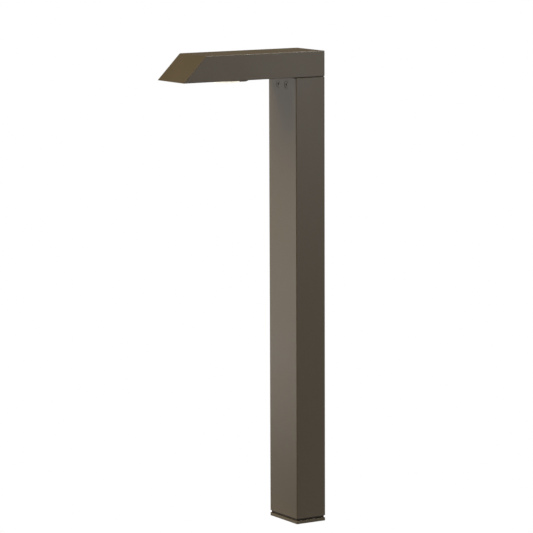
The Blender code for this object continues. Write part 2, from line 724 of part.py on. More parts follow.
def underside_cover(group):
    """Flush plate that closes the head from below and carries the lamp's bezel."""
    ease = 0.4 * MM
    narrow = (COVER_SIZE[0] - 2 * ease, COVER_SIZE[1] - 2 * ease, COVER_CORNER - ease)
    rings = [
        rounded_rect(*narrow, HEAD_BASE, COVER_Y),
        rounded_rect(*COVER_SIZE, COVER_CORNER, HEAD_BASE + ease, COVER_Y),
        rounded_rect(*COVER_SIZE, COVER_CORNER, COVER_TOP, COVER_Y),
    ]
    cover = lofted("underside_cover", [rings], "bronze_paint", group)
    lamp = [(0, LAMP_Y)]
    drill(cover, "cover_lens_hole", lamp, LENS_FLANGE + 0.4 * MM, HEAD_BASE - MM, COVER_TOP + MM, 36)
    drill(cover, "cover_bezel_recess", lamp, BEZEL_RADIUS + GAP, HEAD_BASE - MM, BEZEL_TOP + GAP, 36)
    for x, y in COVER_SCREWS:
        flat_screw_seat(cover, "cover_screw_seat", (x, y, HEAD_BASE), DOWN, M3, 12)
    for x, y in bezel_screws():
        drill(cover, "bezel_screw_thread", [(x, y)], M2_5 + GAP, HEAD_BASE - MM, COVER_TOP + MM, 12)
    return cover


def cover_gasket(group):
    """Flat rubber gasket between the cover and the head's ledge."""
    low = COVER_TOP + GAP
    high = LEDGE - GAP
    outer = (COVER_SIZE[0] - MM, COVER_SIZE[1] - MM, COVER_CORNER)
    inner = (APERTURE_SIZE[0] + MM, APERTURE_SIZE[1] + MM, 8 * MM)
    rings = [
        rounded_rect(*outer, low, COVER_Y),
        rounded_rect(*outer, high, COVER_Y),
        rounded_rect(*inner, high, APERTURE_Y),
        rounded_rect(*inner, low, APERTURE_Y),
    ]
    gasket = lofted("cover_gasket", [rings], "rubber", group, closed=True)
    drill(gasket, "gasket_holes", COVER_SCREWS, M3 + GAP, low - MM, high + MM, 12)
    return gasket


def bezel_screws():
    """Centres of the bezel's three screws."""
    ring = 27.2 * MM
    turns = [math.radians(angle) for angle in (30, 150, 270)]
    return [(ring * math.cos(turn), LAMP_Y + ring * math.sin(turn)) for turn in turns]


def lens_bezel(group):
    """Ring that holds the lens, with a raised shield behind it that keeps glare off the post."""
    bore = LENS_RADIUS + 0.4 * MM
    profile = [
        (bore, BEZEL_LOW + 0.6 * MM),
        (bore + 0.6 * MM, BEZEL_LOW),
        (BEZEL_RADIUS - 0.9 * MM, BEZEL_LOW),
        (BEZEL_RADIUS, BEZEL_LOW + 0.8 * MM),
        (BEZEL_RADIUS, BEZEL_TOP),
        (bore, BEZEL_TOP),
    ]
    at = (0, LAMP_Y, 0)
    bezel = turned("lens_bezel", profile, "bronze_paint", group, at, segments=36, closed=True)
    shield_low = (-SHIELD_WIDTH / 2, LAMP_Y + 12 * MM, HEAD_BASE - SHIELD_DROP)
    shield_high = (SHIELD_WIDTH / 2, SHIELD_BACK_Y, HEAD_BASE - GAP)
    shield = block("glare_shield", shield_low, shield_high, None, None, 0.8 * MM)
    combine(bezel, shield, "UNION")
    drill(bezel, "bezel_bore", [(0, LAMP_Y)], bore - 0.02 * MM, HEAD_BASE - 8 * MM, HEAD_BASE + 4 * MM, 36)
    for x, y in bezel_screws():
        flat_screw_seat(bezel, "bezel_screw_seat", (x, y, BEZEL_LOW), DOWN, M2_5, 12)
    return bezel


def lens(group):
    """Frosted lens: a shallow cup with a flange, its face slightly crowned."""
    low = HEAD_BASE - LENS_DROP
    top = LENS_SEAT + 1.7 * MM
    wall = 2.0 * MM
    round_edge = 2.2 * MM
    crown = 0.4 * MM
    inner = LENS_RADIUS - wall
    profile = [(0, low), (0.6 * LENS_RADIUS, low + 0.4 * crown)]
    profile += arc(LENS_RADIUS - round_edge, low + crown + round_edge, round_edge, 270, 360, 3)
    profile += [
        (LENS_RADIUS, LENS_SEAT),
        (LENS_FLANGE, LENS_SEAT),
        (LENS_FLANGE, top),
        (inner, top),
        (inner, low + wall + crown + MM),
        (inner - 1.2 * MM, low + wall + crown),
        (0, low + wall),
    ]
    return turned("lens", profile, "frosted_lens", group, (0, LAMP_Y, 0), segments=36)


def lens_gasket(group):
    """Rubber ring clamped between the lens and the reflector."""
    low = LENS_SEAT + 1.7 * MM + GAP
    high = REFLECTOR_LOW - GAP
    profile = [(20.4 * MM, low), (23.6 * MM, low), (23.6 * MM, high), (20.4 * MM, high)]
    at = (0, LAMP_Y, 0)
    return turned("lens_gasket", profile, "rubber", group, at, segments=24, closed=True)


def reflector(group):
    """Bright curved cup from the light source down to the lens."""
    top = BOARD_LOW - GAP
    narrow = 9.2 * MM
    wide = 19.6 * MM
    wall = 1.1 * MM
    steps = 4
    flange = REFLECTOR_LOW + MM
    inside = []
    outside = []
    for step in range(steps + 1):
        share = step / steps
        height = flange + (top - flange) * share
        radius = narrow + (wide - narrow) * math.sqrt(1 - share)
        inside.append((radius, height))
        outside.append((radius + wall, height))
    profile = [(wide, REFLECTOR_LOW), (LENS_FLANGE, REFLECTOR_LOW), (LENS_FLANGE, flange)]
    profile += outside + inside[::-1][:-1]
    at = (0, LAMP_Y, 0)
    return turned("reflector", profile, "mirror_coat", group, at, segments=24, closed=True)


def light_source(group):
    """Circuit board with its round light source, the pad over it and the plate that takes its heat."""
    at = (0, LAMP_Y, 0)
    screws = [(-BOARD_SCREW_X, LAMP_Y), (BOARD_SCREW_X, LAMP_Y)]
    low = BOARD_LOW - GAP - 0.8 * MM
    chip = [(0, low), (7.4 * MM, low), (8 * MM, low + 0.4 * MM), (8 * MM, BOARD_LOW - GAP), (0, BOARD_LOW - GAP)]
    turned("led_chip", chip, "phosphor", group, at, segments=18)
    for name, label, bottom, thick in (
        ("led_board", "board_white", BOARD_LOW, BOARD_THICK),
        ("thermal_pad", "pad_grey", PAD_LOW, PAD_THICK),
    ):
        disc = [(0, bottom), (BOARD_RADIUS, bottom), (BOARD_RADIUS, bottom + thick), (0, bottom + thick)]
        node = turned(name, disc, label, group, at, segments=24)
        drill(node, name + "_holes", screws, M3 + GAP, bottom - MM, bottom + thick + MM, 12)
    heat_low = (-25 * MM, LAMP_Y - 33 * MM, PLATE_LOW)
    heat_high = (25 * MM, LAMP_Y + 33 * MM, PLATE_TOP)
    plate = block("heat_plate", heat_low, heat_high, "cast_aluminium", group, 0.6 * MM)
    drill(plate, "heat_plate_threads", screws, M3 + GAP, PLATE_LOW - MM, PLATE_TOP - MM, 12)
    fixings = [(0, LAMP_Y - PLATE_SCREW_Y), (0, LAMP_Y + PLATE_SCREW_Y)]
    drill(plate, "heat_plate_fixings", fixings, M3 + GAP, PLATE_LOW - MM, PLATE_TOP + MM, 12)
    for number, (x, y) in enumerate(screws, 1):
        pan_screw(f"board_screw_{number}", (x, y, BOARD_LOW - GAP), DOWN, M3, 6.2 * MM, group)
    for number, (x, y) in enumerate(fixings, 1):
        pan_screw(f"heat_plate_screw_{number}", (x, y, PLATE_LOW - GAP), DOWN, M3, 8.2 * MM, group)


def lead_connector(group):
    """In-line plug and socket on the head's floor; gives back the height of its wire entries."""
    low = HEAD_FLOOR + GAP
    high = low + 6 * MM
    width = 6 * MM
    halves = {"lead_socket": (-62 * MM, -50 * MM), "lead_plug": (-75.5 * MM, -62.3 * MM)}
    for name, (front, back) in halves.items():
        block(name, (-width, front, low), (width, back, high), "nylon", group, 0.6 * MM)
    return (low + high) / 2


def build_head():
    """Head casting, its cover, and the lamp from the bezel up to the plate that takes its heat."""
    group = sub_assembly("head")
    head_housing(group)
    underside_cover(group)
    cover_gasket(group)
    lens_bezel(group)
    lens(group)
    lens_gasket(group)
    reflector(group)
    light_source(group)
    for number, (x, y) in enumerate(COVER_SCREWS, 1):
        flat_screw(f"cover_screw_{number}", (x, y, HEAD_BASE), DOWN, M3, 6.4 * MM, group, 12)
    for number, (x, y) in enumerate(bezel_screws(), 1):
        face = (x, y, BEZEL_LOW)
        flat_screw(f"bezel_screw_{number}", face, DOWN, M2_5, 3.4 * MM, group, 12)
    return group, lead_connector(group)


# ---------------------------------------------------------------- wiring

LEAD_RADIUS = 1.0 * MM


def build_wiring(lug_mouth, cap_floors, connector_z):
    """Leads from the splice caps to the driver, and on through the neck to the light source."""
    group = sub_assembly("wiring")
    driver_y = DRIVER_BACK - DRIVER_SIZE[1] / 2
    bottom = DRIVER_Z[0] - GAP
    top = DRIVER_Z[1] + GAP
    for name, cap, label, x, bow in (
        ("supply_lead_black", "splice_cap_1", "lead_black", -6 * MM, -5 * MM),
        ("supply_lead_white", "splice_cap_2", "lead_white", 6 * MM, 5 * MM),
    ):
        end = cap_floors[cap]
        mouth = end + UP * 18 * MM
        middle = Vector((end.x + bow, driver_y + bow, 300 * MM))
        route = [(x, driver_y, bottom), (x, driver_y, bottom - 12 * MM), (x + bow, driver_y, 430 * MM)]
        route += [middle, (end.x, end.y + bow / 2, 190 * MM), mouth, end]
        lead(name, route, LEAD_RADIUS, label, group, 4)
    route = [(0, driver_y - 4 * MM, bottom), (0, driver_y - 4 * MM, bottom - 12 * MM)]
    route += [(-2 * MM, -8 * MM, 420 * MM), (3 * MM, -12 * MM, 300 * MM), (-1 * MM, -14 * MM, 180 * MM)]
    route += [(5 * MM, -12 * MM, 90 * MM), lug_mouth + UP * 32 * MM, lug_mouth + UP * 12 * MM, lug_mouth]
    lead("earth_lead", route, LEAD_RADIUS, "lead_green", group, 4)
    for name, label, side in (("lamp_lead_red", "lead_red", -1), ("lamp_lead_black", "lead_black", 1)):
        route = [
            (side * 5 * MM, 0, top),
            (side * 5 * MM, 0, top + 8 * MM),
            (side * 3 * MM, 0, 640 * MM),
            (side * 1.4 * MM, 0, SPIGOT_ROOF - 4 * MM),
            (side * 1.4 * MM, 0, SPIGOT_TOP),
            (side * 1.4 * MM, -1 * MM, HEAD_FLOOR + 1 * MM),
            (side * 1.6 * MM, -7 * MM, HEAD_FLOOR + 8 * MM),
            (side * 1.8 * MM, -20 * MM, HEAD_FLOOR + 9 * MM),
            (side * 1.9 * MM, -36 * MM, connector_z + 2 * MM),
            (side * 2.0 * MM, -50 * MM + GAP, connector_z),
        ]
        lead(name, route, LEAD_RADIUS, label, group, 3)
    for name, label, side in (("board_lead_red", "lead_red", -1), ("board_lead_black", "lead_black", 1)):
        route = [
            (side * 2.0 * MM, -75.5 * MM - GAP, connector_z),
            (side * 2.4 * MM, -84 * MM, connector_z + 1.5 * MM),
            (side * 4.0 * MM, -95 * MM, connector_z + 6 * MM),
            (side * 5.0 * MM, -103.5 * MM, connector_z + 9.5 * MM),
            (side * 5.0 * MM, -105.6 * MM, BOARD_LOW - GAP),
        ]
        lead(name, route, LEAD_RADIUS, label, group, 4)
    return group


def main():
    """Build the light, group by group, under one parent."""
    empty_scene()
    light = sub_assembly("bollard_light")
    base, lug_mouth, cap_floors = build_base()
    head, connector_z = build_head()
    groups = [base, build_post(), build_neck(), head]
    groups.append(build_wiring(lug_mouth, cap_floors, connector_z))
    for group in groups:
        group.parent = light


main()
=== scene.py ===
"""Looks of a bollard light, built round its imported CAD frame.

A rectangular post in dark bronze powder coat stands on a cast foot and carries a flat head with a
slanted nose.  The lamp sits in the underside of the head.  Metres, +Z up, the head reaches along -Y.
"""

import json
import logging
import math
from dataclasses import dataclass, field
from enum import Enum

import bmesh
import bpy
from mathutils import Matrix, Quaternion, Vector


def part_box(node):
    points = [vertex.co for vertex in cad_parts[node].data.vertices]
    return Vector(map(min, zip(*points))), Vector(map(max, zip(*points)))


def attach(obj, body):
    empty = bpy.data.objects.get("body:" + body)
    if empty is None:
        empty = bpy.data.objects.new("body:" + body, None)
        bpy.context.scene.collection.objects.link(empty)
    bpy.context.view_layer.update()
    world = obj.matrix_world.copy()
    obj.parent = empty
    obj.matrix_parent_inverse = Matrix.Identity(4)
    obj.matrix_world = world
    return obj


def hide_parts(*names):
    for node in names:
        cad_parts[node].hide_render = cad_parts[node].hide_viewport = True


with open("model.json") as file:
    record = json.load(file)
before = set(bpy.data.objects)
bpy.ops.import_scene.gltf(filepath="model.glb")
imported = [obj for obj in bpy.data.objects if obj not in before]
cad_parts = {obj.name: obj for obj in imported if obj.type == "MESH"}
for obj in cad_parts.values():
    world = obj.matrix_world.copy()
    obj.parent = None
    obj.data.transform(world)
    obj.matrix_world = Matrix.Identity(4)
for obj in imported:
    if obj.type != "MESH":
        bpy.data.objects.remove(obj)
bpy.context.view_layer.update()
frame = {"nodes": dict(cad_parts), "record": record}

LOG = logging.getLogger("bollard_light")
MM = 0.001
GAP = 0.3 * MM                      # clearance between two pieces that touch
BODY = "root"
UP = Vector((0, 0, 1))
DOWN = Vector((0, 0, -1))
FORWARD = Vector((0, -1, 0))
BACKWARD = Vector((0, 1, 0))

Colour = tuple[float, float, float]
Ring = list[Vector]
Profile = list[tuple]

BLACK: Colour = (0.0, 0.0, 0.0)


class Slot(Enum):
    """The record's material slots."""

    BRONZE = "bronze_paint"
    BRONZE_SCREW = "bronze_screw"
    CASTING = "cast_aluminium"
    STEEL = "steel"
    RUBBER = "rubber"
    LENS = "frosted_lens"
    MIRROR = "mirror_coat"
    BOARD = "board_white"
    PHOSPHOR = "phosphor"
    PAD = "pad_grey"
    DRIVER = "driver_black"
    NYLON = "nylon"
    SPLICE_CAP = "splice_cap"
    BRASS = "brass"
    LEAD_RED = "lead_red"
    LEAD_BLACK = "lead_black"
    LEAD_WHITE = "lead_white"
    LEAD_GREEN = "lead_green"


class Edge(Enum):
    """Whether a turned ring is round or has six flats."""

    ROUND = "round"
    HEXAGON = "hexagon"


def linear(red: float, green: float, blue: float) -> Colour:
    """Turn a display colour into a linear one.

    Args:
        red: Red, 0 to 255.
        green: Green, 0 to 255.
        blue: Blue, 0 to 255.

    Returns:
        The linear colour, each channel 0 to 1.
    """
    levels = [value / 255 for value in (red, green, blue)]
    return tuple(v / 12.92 if v <= 0.04045 else ((v + 0.055) / 1.055) ** 2.4 for v in levels)


def scaled(colour: Colour, factor: float) -> Colour:
    """A colour made lighter or darker by a factor."""
    return tuple(min(1.0, channel * factor) for channel in colour)


# ---------------------------------------------------------------- node graphs

FULL_EDGE_MARK = 0.86                    # cosine between eased and true face where the edge wear and painted highlight are complete
LOW_EDGE_TILT = 0.1                # upward tilt of an edge below which it takes only its side share of wear and painted highlight
UPWARD_EDGE_TILT = 0.4                     # upward tilt above which an edge takes the full wear and painted highlight
WAVE_RING = 0.314                   # wave texture scale times the width of a ring


class Graph:
    """Adds and joins the nodes of one material."""

    def __init__(self, name: str) -> None:
        """Start a material.

        Args:
            name: The material's name.
        """
        self.material = bpy.data.materials.new(name)
        self.material.use_nodes = True
        self.tree = self.material.node_tree
        self.shader = self.tree.nodes["Principled BSDF"]
        self._place: bpy.types.NodeSocket | None = None

    def add(self, kind: str, **settings: object) -> bpy.types.Node:
        """Add a node.

        Args:
            kind: The node's type name.
            **settings: Properties to set on it.

        Returns:
            The new node.
        """
        node = self.tree.nodes.new(kind)
        for key, value in settings.items():
            setattr(node, key, value)
        return node

    def join(self, source: bpy.types.NodeSocket, target: bpy.types.NodeSocket) -> None:
        """Link one socket to another."""
        self.tree.links.new(source, target)

    def feed(self, target: bpy.types.NodeSocket, value: object) -> None:
        """Link a socket into a target, or set a plain value on it."""
        if isinstance(value, bpy.types.NodeSocket):
            self.join(value, target)
        else:
            target.default_value = value

    def tint(self, target: bpy.types.NodeSocket, colour: object) -> None:
        """Link a colour's socket into a target, or set a plain colour on it."""
        self.feed(target, colour if isinstance(colour, bpy.types.NodeSocket) else (*colour, 1.0))

    def place(self) -> bpy.types.NodeSocket:
        """Position in the object's own frame, in metres."""
        if self._place is None:
            self._place = self.add("ShaderNodeTexCoord").outputs["Object"]
        return self._place

    def stretched(self, stretch: Colour, centre: Vector | None = None) -> bpy.types.NodeSocket:
        """Position about a centre, stretched along each axis.

        Args:
            stretch: How much the pattern is squeezed along X, Y and Z.
            centre: The point that stays at zero, or None for the origin.

        Returns:
            The position socket.
        """
        node = self.add("ShaderNodeMapping")
        self.join(self.place(), node.inputs["Vector"])
        node.inputs["Scale"].default_value = stretch
        if centre is not None:
            node.inputs["Location"].default_value = [-c * s for c, s in zip(centre, stretch)]
        return node.outputs["Vector"]

    def noise(self, size: float, detail: float = 2.0, roughness: float = 0.5,
              at: bpy.types.NodeSocket | None = None) -> bpy.types.NodeSocket:
        """Noise whose patches are about the size given.

        Args:
            size: Width of a patch, in metres.
            detail: Octaves of finer noise on top.
            roughness: How strong those octaves are.
            at: Position to read, or None for the plain one.

        Returns:
            The noise level, about 0 to 1.
        """
        node = self.add("ShaderNodeTexNoise")
        node.inputs["Scale"].default_value = 1 / size
        node.inputs["Detail"].default_value = detail
        node.inputs["Roughness"].default_value = roughness
        self.join(at or self.place(), node.inputs["Vector"])
        return node.outputs["Fac"]

    def cells(self, size: float, feature: str = "F1") -> bpy.types.NodeSocket:
        """Distance inside cells of about the size given."""
        node = self.add("ShaderNodeTexVoronoi", feature=feature)
        node.inputs["Scale"].default_value = 1 / size
        self.join(self.place(), node.inputs["Vector"])
        return node.outputs["Distance"]

    def spread(self, level: bpy.types.NodeSocket, start: float, end: float,
               low: float, high: float) -> bpy.types.NodeSocket:
        """Map a level from one span on to another, and hold it there.

        Args:
            level: The level to map.
            start: Level that gives low.
            end: Level that gives high.
            low: Lowest result.
            high: Highest result.

        Returns:
            The mapped level.
        """
        node = self.add("ShaderNodeMapRange", clamp=True)
        for name, value in (("From Min", start), ("From Max", end), ("To Min", low), ("To Max", high)):
            node.inputs[name].default_value = value
        self.join(level, node.inputs["Value"])
        return node.outputs["Result"]

    def math(self, operation: str, first: object, second: object = 0.0) -> bpy.types.NodeSocket:
        """Result of a sum on two levels."""
        node = self.add("ShaderNodeMath", operation=operation)
        self.feed(node.inputs[0], first)
        self.feed(node.inputs[1], second)
        return node.outputs["Value"]

    def mixed(self, share: bpy.types.NodeSocket, first: object, second: object) -> bpy.types.NodeSocket:
        """Blend two colours.

        Args:
            share: How much of the second colour shows.
            first: A colour, or a socket that gives one.
            second: A colour, or a socket that gives one.

        Returns:
            The blended colour.
        """
        node = self.add("ShaderNodeMix", data_type="RGBA")
        self.join(share, node.inputs[0])
        self.tint(node.inputs[6], first)
        self.tint(node.inputs[7], second)
        return node.outputs[2]

    def raised(self, level: bpy.types.NodeSocket, height: float,
               under: bpy.types.NodeSocket | None = None) -> bpy.types.NodeSocket:
        """Relief that follows a level.

        Args:
            level: The level, 0 low and 1 high.
            height: How high the relief stands, in metres.
            under: Relief that this one lies on, or None.

        Returns:
            The surface normal.
        """
        node = self.add("ShaderNodeBump")
        node.inputs["Distance"].default_value = height
        self.join(level, node.inputs["Height"])
        if under is not None:
            self.join(under, node.inputs["Normal"])
        return node.outputs["Normal"]

    def edge_wear_and_highlight(self, width: float, side_edge_share: float = 1.0) -> bpy.types.NodeSocket:
        """How near a surface point is to a sharp edge, in full on edges that look up and by a share on the
        rest; it drives edge wear, and on the powder coat a painted highlight too.

        Args:
            width: How far in from the edge the wear and painted highlight go.
            side_edge_share: Share of the wear and painted highlight on upright edges and on those that look
                down.

        Returns:
            0 on the flat, 1 on an edge that looks up.
        """
        soft = self.add("ShaderNodeBevel", samples=4)
        soft.inputs["Radius"].default_value = width
        flat = self.add("ShaderNodeNewGeometry")
        node = self.add("ShaderNodeVectorMath", operation="DOT_PRODUCT")
        self.join(soft.outputs["Normal"], node.inputs[0])
        self.join(flat.outputs["Normal"], node.inputs[1])
        level = self.spread(node.outputs["Value"], 1.0, FULL_EDGE_MARK, 0.0, 1.0)
        # Edges that look up get the full share: on the powder coat this is a painted highlight from the light
        # above.
        axes = self.add("ShaderNodeSeparateXYZ")
        self.join(soft.outputs["Normal"], axes.inputs[0])
        facing_up = self.spread(axes.outputs["Z"], LOW_EDGE_TILT, UPWARD_EDGE_TILT, side_edge_share, 1.0)
        return self.math("MULTIPLY", level, facing_up)

    def dress(self, colour: object, roughness: object, metallic: float = 0.0,
              normal: bpy.types.NodeSocket | None = None, **plain: object) -> bpy.types.Material:
        """Set the shader's sockets.

        Args:
            colour: Base colour, plain or from a socket.
            roughness: Roughness, plain or from a socket.
            metallic: 0 for paint, rubber and plastic, 1 for bare metal.
            normal: Relief, or None.
            **plain: Other sockets by name with underscores, set to plain values.

        Returns:
            The finished material.
        """
        inputs = self.shader.inputs
        self.tint(inputs["Base Color"], colour)
        self.feed(inputs["Roughness"], roughness)
        inputs["Metallic"].default_value = metallic
        if normal is not None:
            self.join(normal, inputs["Normal"])
        for name, value in plain.items():
            inputs[name.replace("_", " ")].default_value = value
        return self.material


# ---------------------------------------------------------------- finishes

@dataclass(frozen=True)
class Finish:
    """What every finish has: a colour and how rough it is."""

    colour: Colour
    roughness: float

    def material(self, name: str, centre: Vector) -> bpy.types.Material:
        """Make the finish's material for one piece.

        Args:
            name: The material's name.
            centre: Middle of the piece it goes on.

        Returns:
            The material.
        """
        raise NotImplementedError


@dataclass(frozen=True)
class PowderCoat(Finish):
    """Baked powder paint: orange peel, faint mottling, and edges made lighter by wear and by a painted
    highlight, most on edges that look up.
    """

    peel: float = 1.3 * MM
    peel_height: float = 0.010 * MM
    mottle: float = 90 * MM
    mottling: float = 0.07              # how much lighter and darker the mottling goes
    fleck_tone: float = 1.45
    edge: float = 0.9 * MM
    edge_tone: float = 2.4
    side_edge_share: float = 0.2              # share of the wear and painted highlight on edges that don't look up
    gloss_change: float = 0.035

    def material(self, name: str, centre: Vector) -> bpy.types.Material:
        """Make the paint's material; see Finish."""
        graph = Graph(name)
        peel = graph.noise(self.peel, detail=2.5, roughness=0.55)
        speck = graph.noise(0.28 * self.peel, detail=1.0)
        mottle = graph.noise(self.mottle, detail=3.0)
        tone = graph.math("ADD", graph.math("MULTIPLY", mottle, 0.6), graph.math("MULTIPLY", peel, 0.4))
        tone = graph.spread(tone, 0.34, 0.66, 0.0, 1.0)
        dark, light = scaled(self.colour, 1 - self.mottling), scaled(self.colour, 1 + self.mottling)
        colour = graph.mixed(tone, dark, light)
        fleck = graph.spread(speck, 0.62, 0.78, 0.0, 0.35)
        colour = graph.mixed(fleck, colour, scaled(self.colour, self.fleck_tone))
        # Edges lighter by edge_tone: partly wear, partly a painted highlight on edges that look up.
        wear_and_highlight = graph.edge_wear_and_highlight(self.edge, self.side_edge_share)
        edge_tone_share = graph.math("MULTIPLY", wear_and_highlight, graph.spread(mottle, 0.35, 0.6, 0.6, 1.0))
        colour = graph.mixed(edge_tone_share, colour, scaled(self.colour, self.edge_tone))
        smooth, rough = self.roughness - self.gloss_change, self.roughness + self.gloss_change
        rough = graph.spread(tone, 0.0, 1.0, smooth, rough)
        rough = graph.math("SUBTRACT", rough, graph.math("MULTIPLY", edge_tone_share, 0.12))
        normal = graph.raised(peel, self.peel_height)
        normal = graph.raised(speck, 0.25 * self.peel_height, normal)
        return graph.dress(colour, rough, normal=normal, IOR=1.5)


@dataclass(frozen=True)
class TurnedSteel(Finish):
    """Turned screws and fittings, painted, plated or brass, with the rings their turning leaves."""

    metallic: float = 1.0
    ring: float = 0.22 * MM
    tarnish: Colour = BLACK

    def material(self, name: str, centre: Vector) -> bpy.types.Material:
        """Make the steel's material; see Finish."""
        graph = Graph(name)
        rings = graph.add("ShaderNodeTexWave", wave_type="RINGS", rings_direction="SPHERICAL")
        graph.join(graph.stretched((1.0, 1.0, 1.0), centre), rings.inputs["Vector"])
        rings.inputs["Scale"].default_value = WAVE_RING / self.ring
        rings.inputs["Distortion"].default_value = 0.6
        cloud = graph.noise(2.2 * MM, detail=4.0)
        grain = graph.noise(0.18 * MM, detail=1.0)
        stain = graph.spread(cloud, 0.4, 0.68, 0.0, 0.5)
        colour = graph.mixed(stain, self.colour, self.tarnish)
        rough = graph.math("ADD", graph.spread(cloud, 0.3, 0.7, self.roughness - 0.06, self.roughness + 0.1),
                           graph.math("MULTIPLY", grain, 0.05))
        normal = graph.raised(rings.outputs["Fac"], 0.006 * MM)
        normal = graph.raised(grain, 0.003 * MM, normal)
        return graph.dress(colour, rough, self.metallic, normal)


@dataclass(frozen=True)
class Casting(Finish):
    """Bare cast aluminium: sandy skin, small pits and darker hollows."""

    grain: float = 0.9 * MM

    def material(self, name: str, centre: Vector) -> bpy.types.Material:
        """Make the casting's material; see Finish."""
        graph = Graph(name)
        sand = graph.noise(self.grain, detail=5.0, roughness=0.6)
        pits = graph.spread(graph.cells(3.5 * self.grain), 0.0, 0.22, 0.0, 1.0)
        flow = graph.noise(22 * MM, detail=2.0, at=graph.stretched((1.0, 1.0, 0.35)))
        colour = graph.mixed(graph.spread(flow, 0.35, 0.65, 0.0, 1.0), scaled(self.colour, 0.84), self.colour)
        colour = graph.mixed(pits, scaled(self.colour, 0.5), colour)
        edge_tone_share = graph.math("MULTIPLY", graph.edge_wear_and_highlight(0.7 * MM), 0.7)
        colour = graph.mixed(edge_tone_share, colour, scaled(self.colour, 1.35))
        rough = graph.spread(sand, 0.3, 0.7, self.roughness - 0.08, self.roughness + 0.12)
        normal = graph.raised(pits, 0.05 * MM, graph.raised(sand, 0.04 * MM))
        return graph.dress(colour, rough, 0.9, normal)


@dataclass(frozen=True)
class RubberSkin(Finish):
    """Matt moulded rubber with a bloom of dust."""

    dust: Colour = (0.10, 0.095, 0.085)

    def material(self, name: str, centre: Vector) -> bpy.types.Material:
        """Make the rubber's material; see Finish."""
        graph = Graph(name)
        fine = graph.noise(0.35 * MM, detail=3.0)
        bloom = graph.noise(7 * MM, detail=4.0)
        colour = graph.mixed(graph.spread(bloom, 0.45, 0.8, 0.0, 0.4), self.colour, self.dust)
        rough = graph.spread(fine, 0.3, 0.7, self.roughness - 0.08, self.roughness + 0.05)
        return graph.dress(colour, rough, normal=graph.raised(fine, 0.02 * MM), Specular_IOR_Level=0.35)


@dataclass(frozen=True)
class FrostedLens(Finish):
    """Frosted lens, lit from behind, with a fine etched face."""

    glow: Colour = (1.0, 0.93, 0.80)
    power: float = 0.55                 # strength of the light that its face gives

    def material(self, name: str, centre: Vector) -> bpy.types.Material:
        """Make the lens's material; see Finish."""
        graph = Graph(name)
        etch = graph.noise(0.25 * MM, detail=2.0)
        cloud = graph.noise(9 * MM, detail=2.0)
        cloudy = graph.spread(cloud, 0.35, 0.65, 0.0, 1.0)
        colour = graph.mixed(cloudy, scaled(self.colour, 0.95), self.colour)
        rough = graph.spread(etch, 0.3, 0.7, self.roughness - 0.05, self.roughness + 0.1)
        return graph.dress(colour, rough, normal=graph.raised(etch, 0.008 * MM), IOR=1.49,
                           Emission_Color=(*self.glow, 1.0), Emission_Strength=self.power)


@dataclass(frozen=True)
class MirrorCoat(Finish):
    """Bright metal coat in a moulded cup, with faint flow rings."""

    def material(self, name: str, centre: Vector) -> bpy.types.Material:
        """Make the coat's material; see Finish."""
        graph = Graph(name)
        rings = graph.add("ShaderNodeTexWave", wave_type="RINGS", rings_direction="Z")
        graph.join(graph.stretched((1.0, 1.0, 1.0), centre), rings.inputs["Vector"])
        rings.inputs["Scale"].default_value = 180.0
        haze = graph.noise(4 * MM, detail=3.0)
        colour = graph.mixed(graph.spread(haze, 0.4, 0.7, 0.0, 0.4), self.colour, scaled(self.colour, 0.86))
        rough = graph.spread(haze, 0.3, 0.7, self.roughness - 0.03, self.roughness + 0.06)
        return graph.dress(colour, rough, 1.0, graph.raised(rings.outputs["Fac"], 0.004 * MM))


@dataclass(frozen=True)
class Moulding(Finish):
    """Moulded or coated plastic: a fine spark texture, faint flow shading and edges made pale by rubbing."""

    grain: float = 0.5 * MM
    relief: float = 0.012 * MM
    edge_tone: float = 1.25
    emission: float = 0.0

    def material(self, name: str, centre: Vector) -> bpy.types.Material:
        """Make the plastic's material; see Finish."""
        graph = Graph(name)
        spark = graph.cells(self.grain)
        flow = graph.noise(14 * MM, detail=2.0)
        colour = graph.mixed(graph.spread(flow, 0.35, 0.65, 0.0, 1.0), scaled(self.colour, 0.92), self.colour)
        edge_tone_share = graph.math("MULTIPLY", graph.edge_wear_and_highlight(0.4 * MM), 0.5)
        colour = graph.mixed(edge_tone_share, colour, scaled(self.colour, self.edge_tone))
        rough = graph.spread(spark, 0.1, 0.7, self.roughness - 0.05, self.roughness + 0.07)
        extra = {}
        if self.emission:
            extra = {"Emission_Color": (*self.colour, 1.0), "Emission_Strength": self.emission}
        return graph.dress(colour, rough, normal=graph.raised(spark, self.relief), **extra)


@dataclass(frozen=True)
class Insulation(Finish):
    """Extruded wire insulation: smooth along the wire, with faint draw lines and scuffs."""

    def material(self, name: str, centre: Vector) -> bpy.types.Material:
        """Make the insulation's material; see Finish."""
        graph = Graph(name)
        draw = graph.noise(0.3 * MM, detail=2.0, at=graph.stretched((1.0, 1.0, 0.08)))
        scuff = graph.noise(3 * MM, detail=4.0)
        colour = graph.mixed(graph.spread(scuff, 0.5, 0.8, 0.0, 0.35), self.colour, scaled(self.colour, 1.3))
        rough = graph.spread(scuff, 0.3, 0.7, self.roughness - 0.08, self.roughness + 0.12)
        return graph.dress(colour, rough, normal=graph.raised(draw, 0.006 * MM), Coat_Weight=0.2)


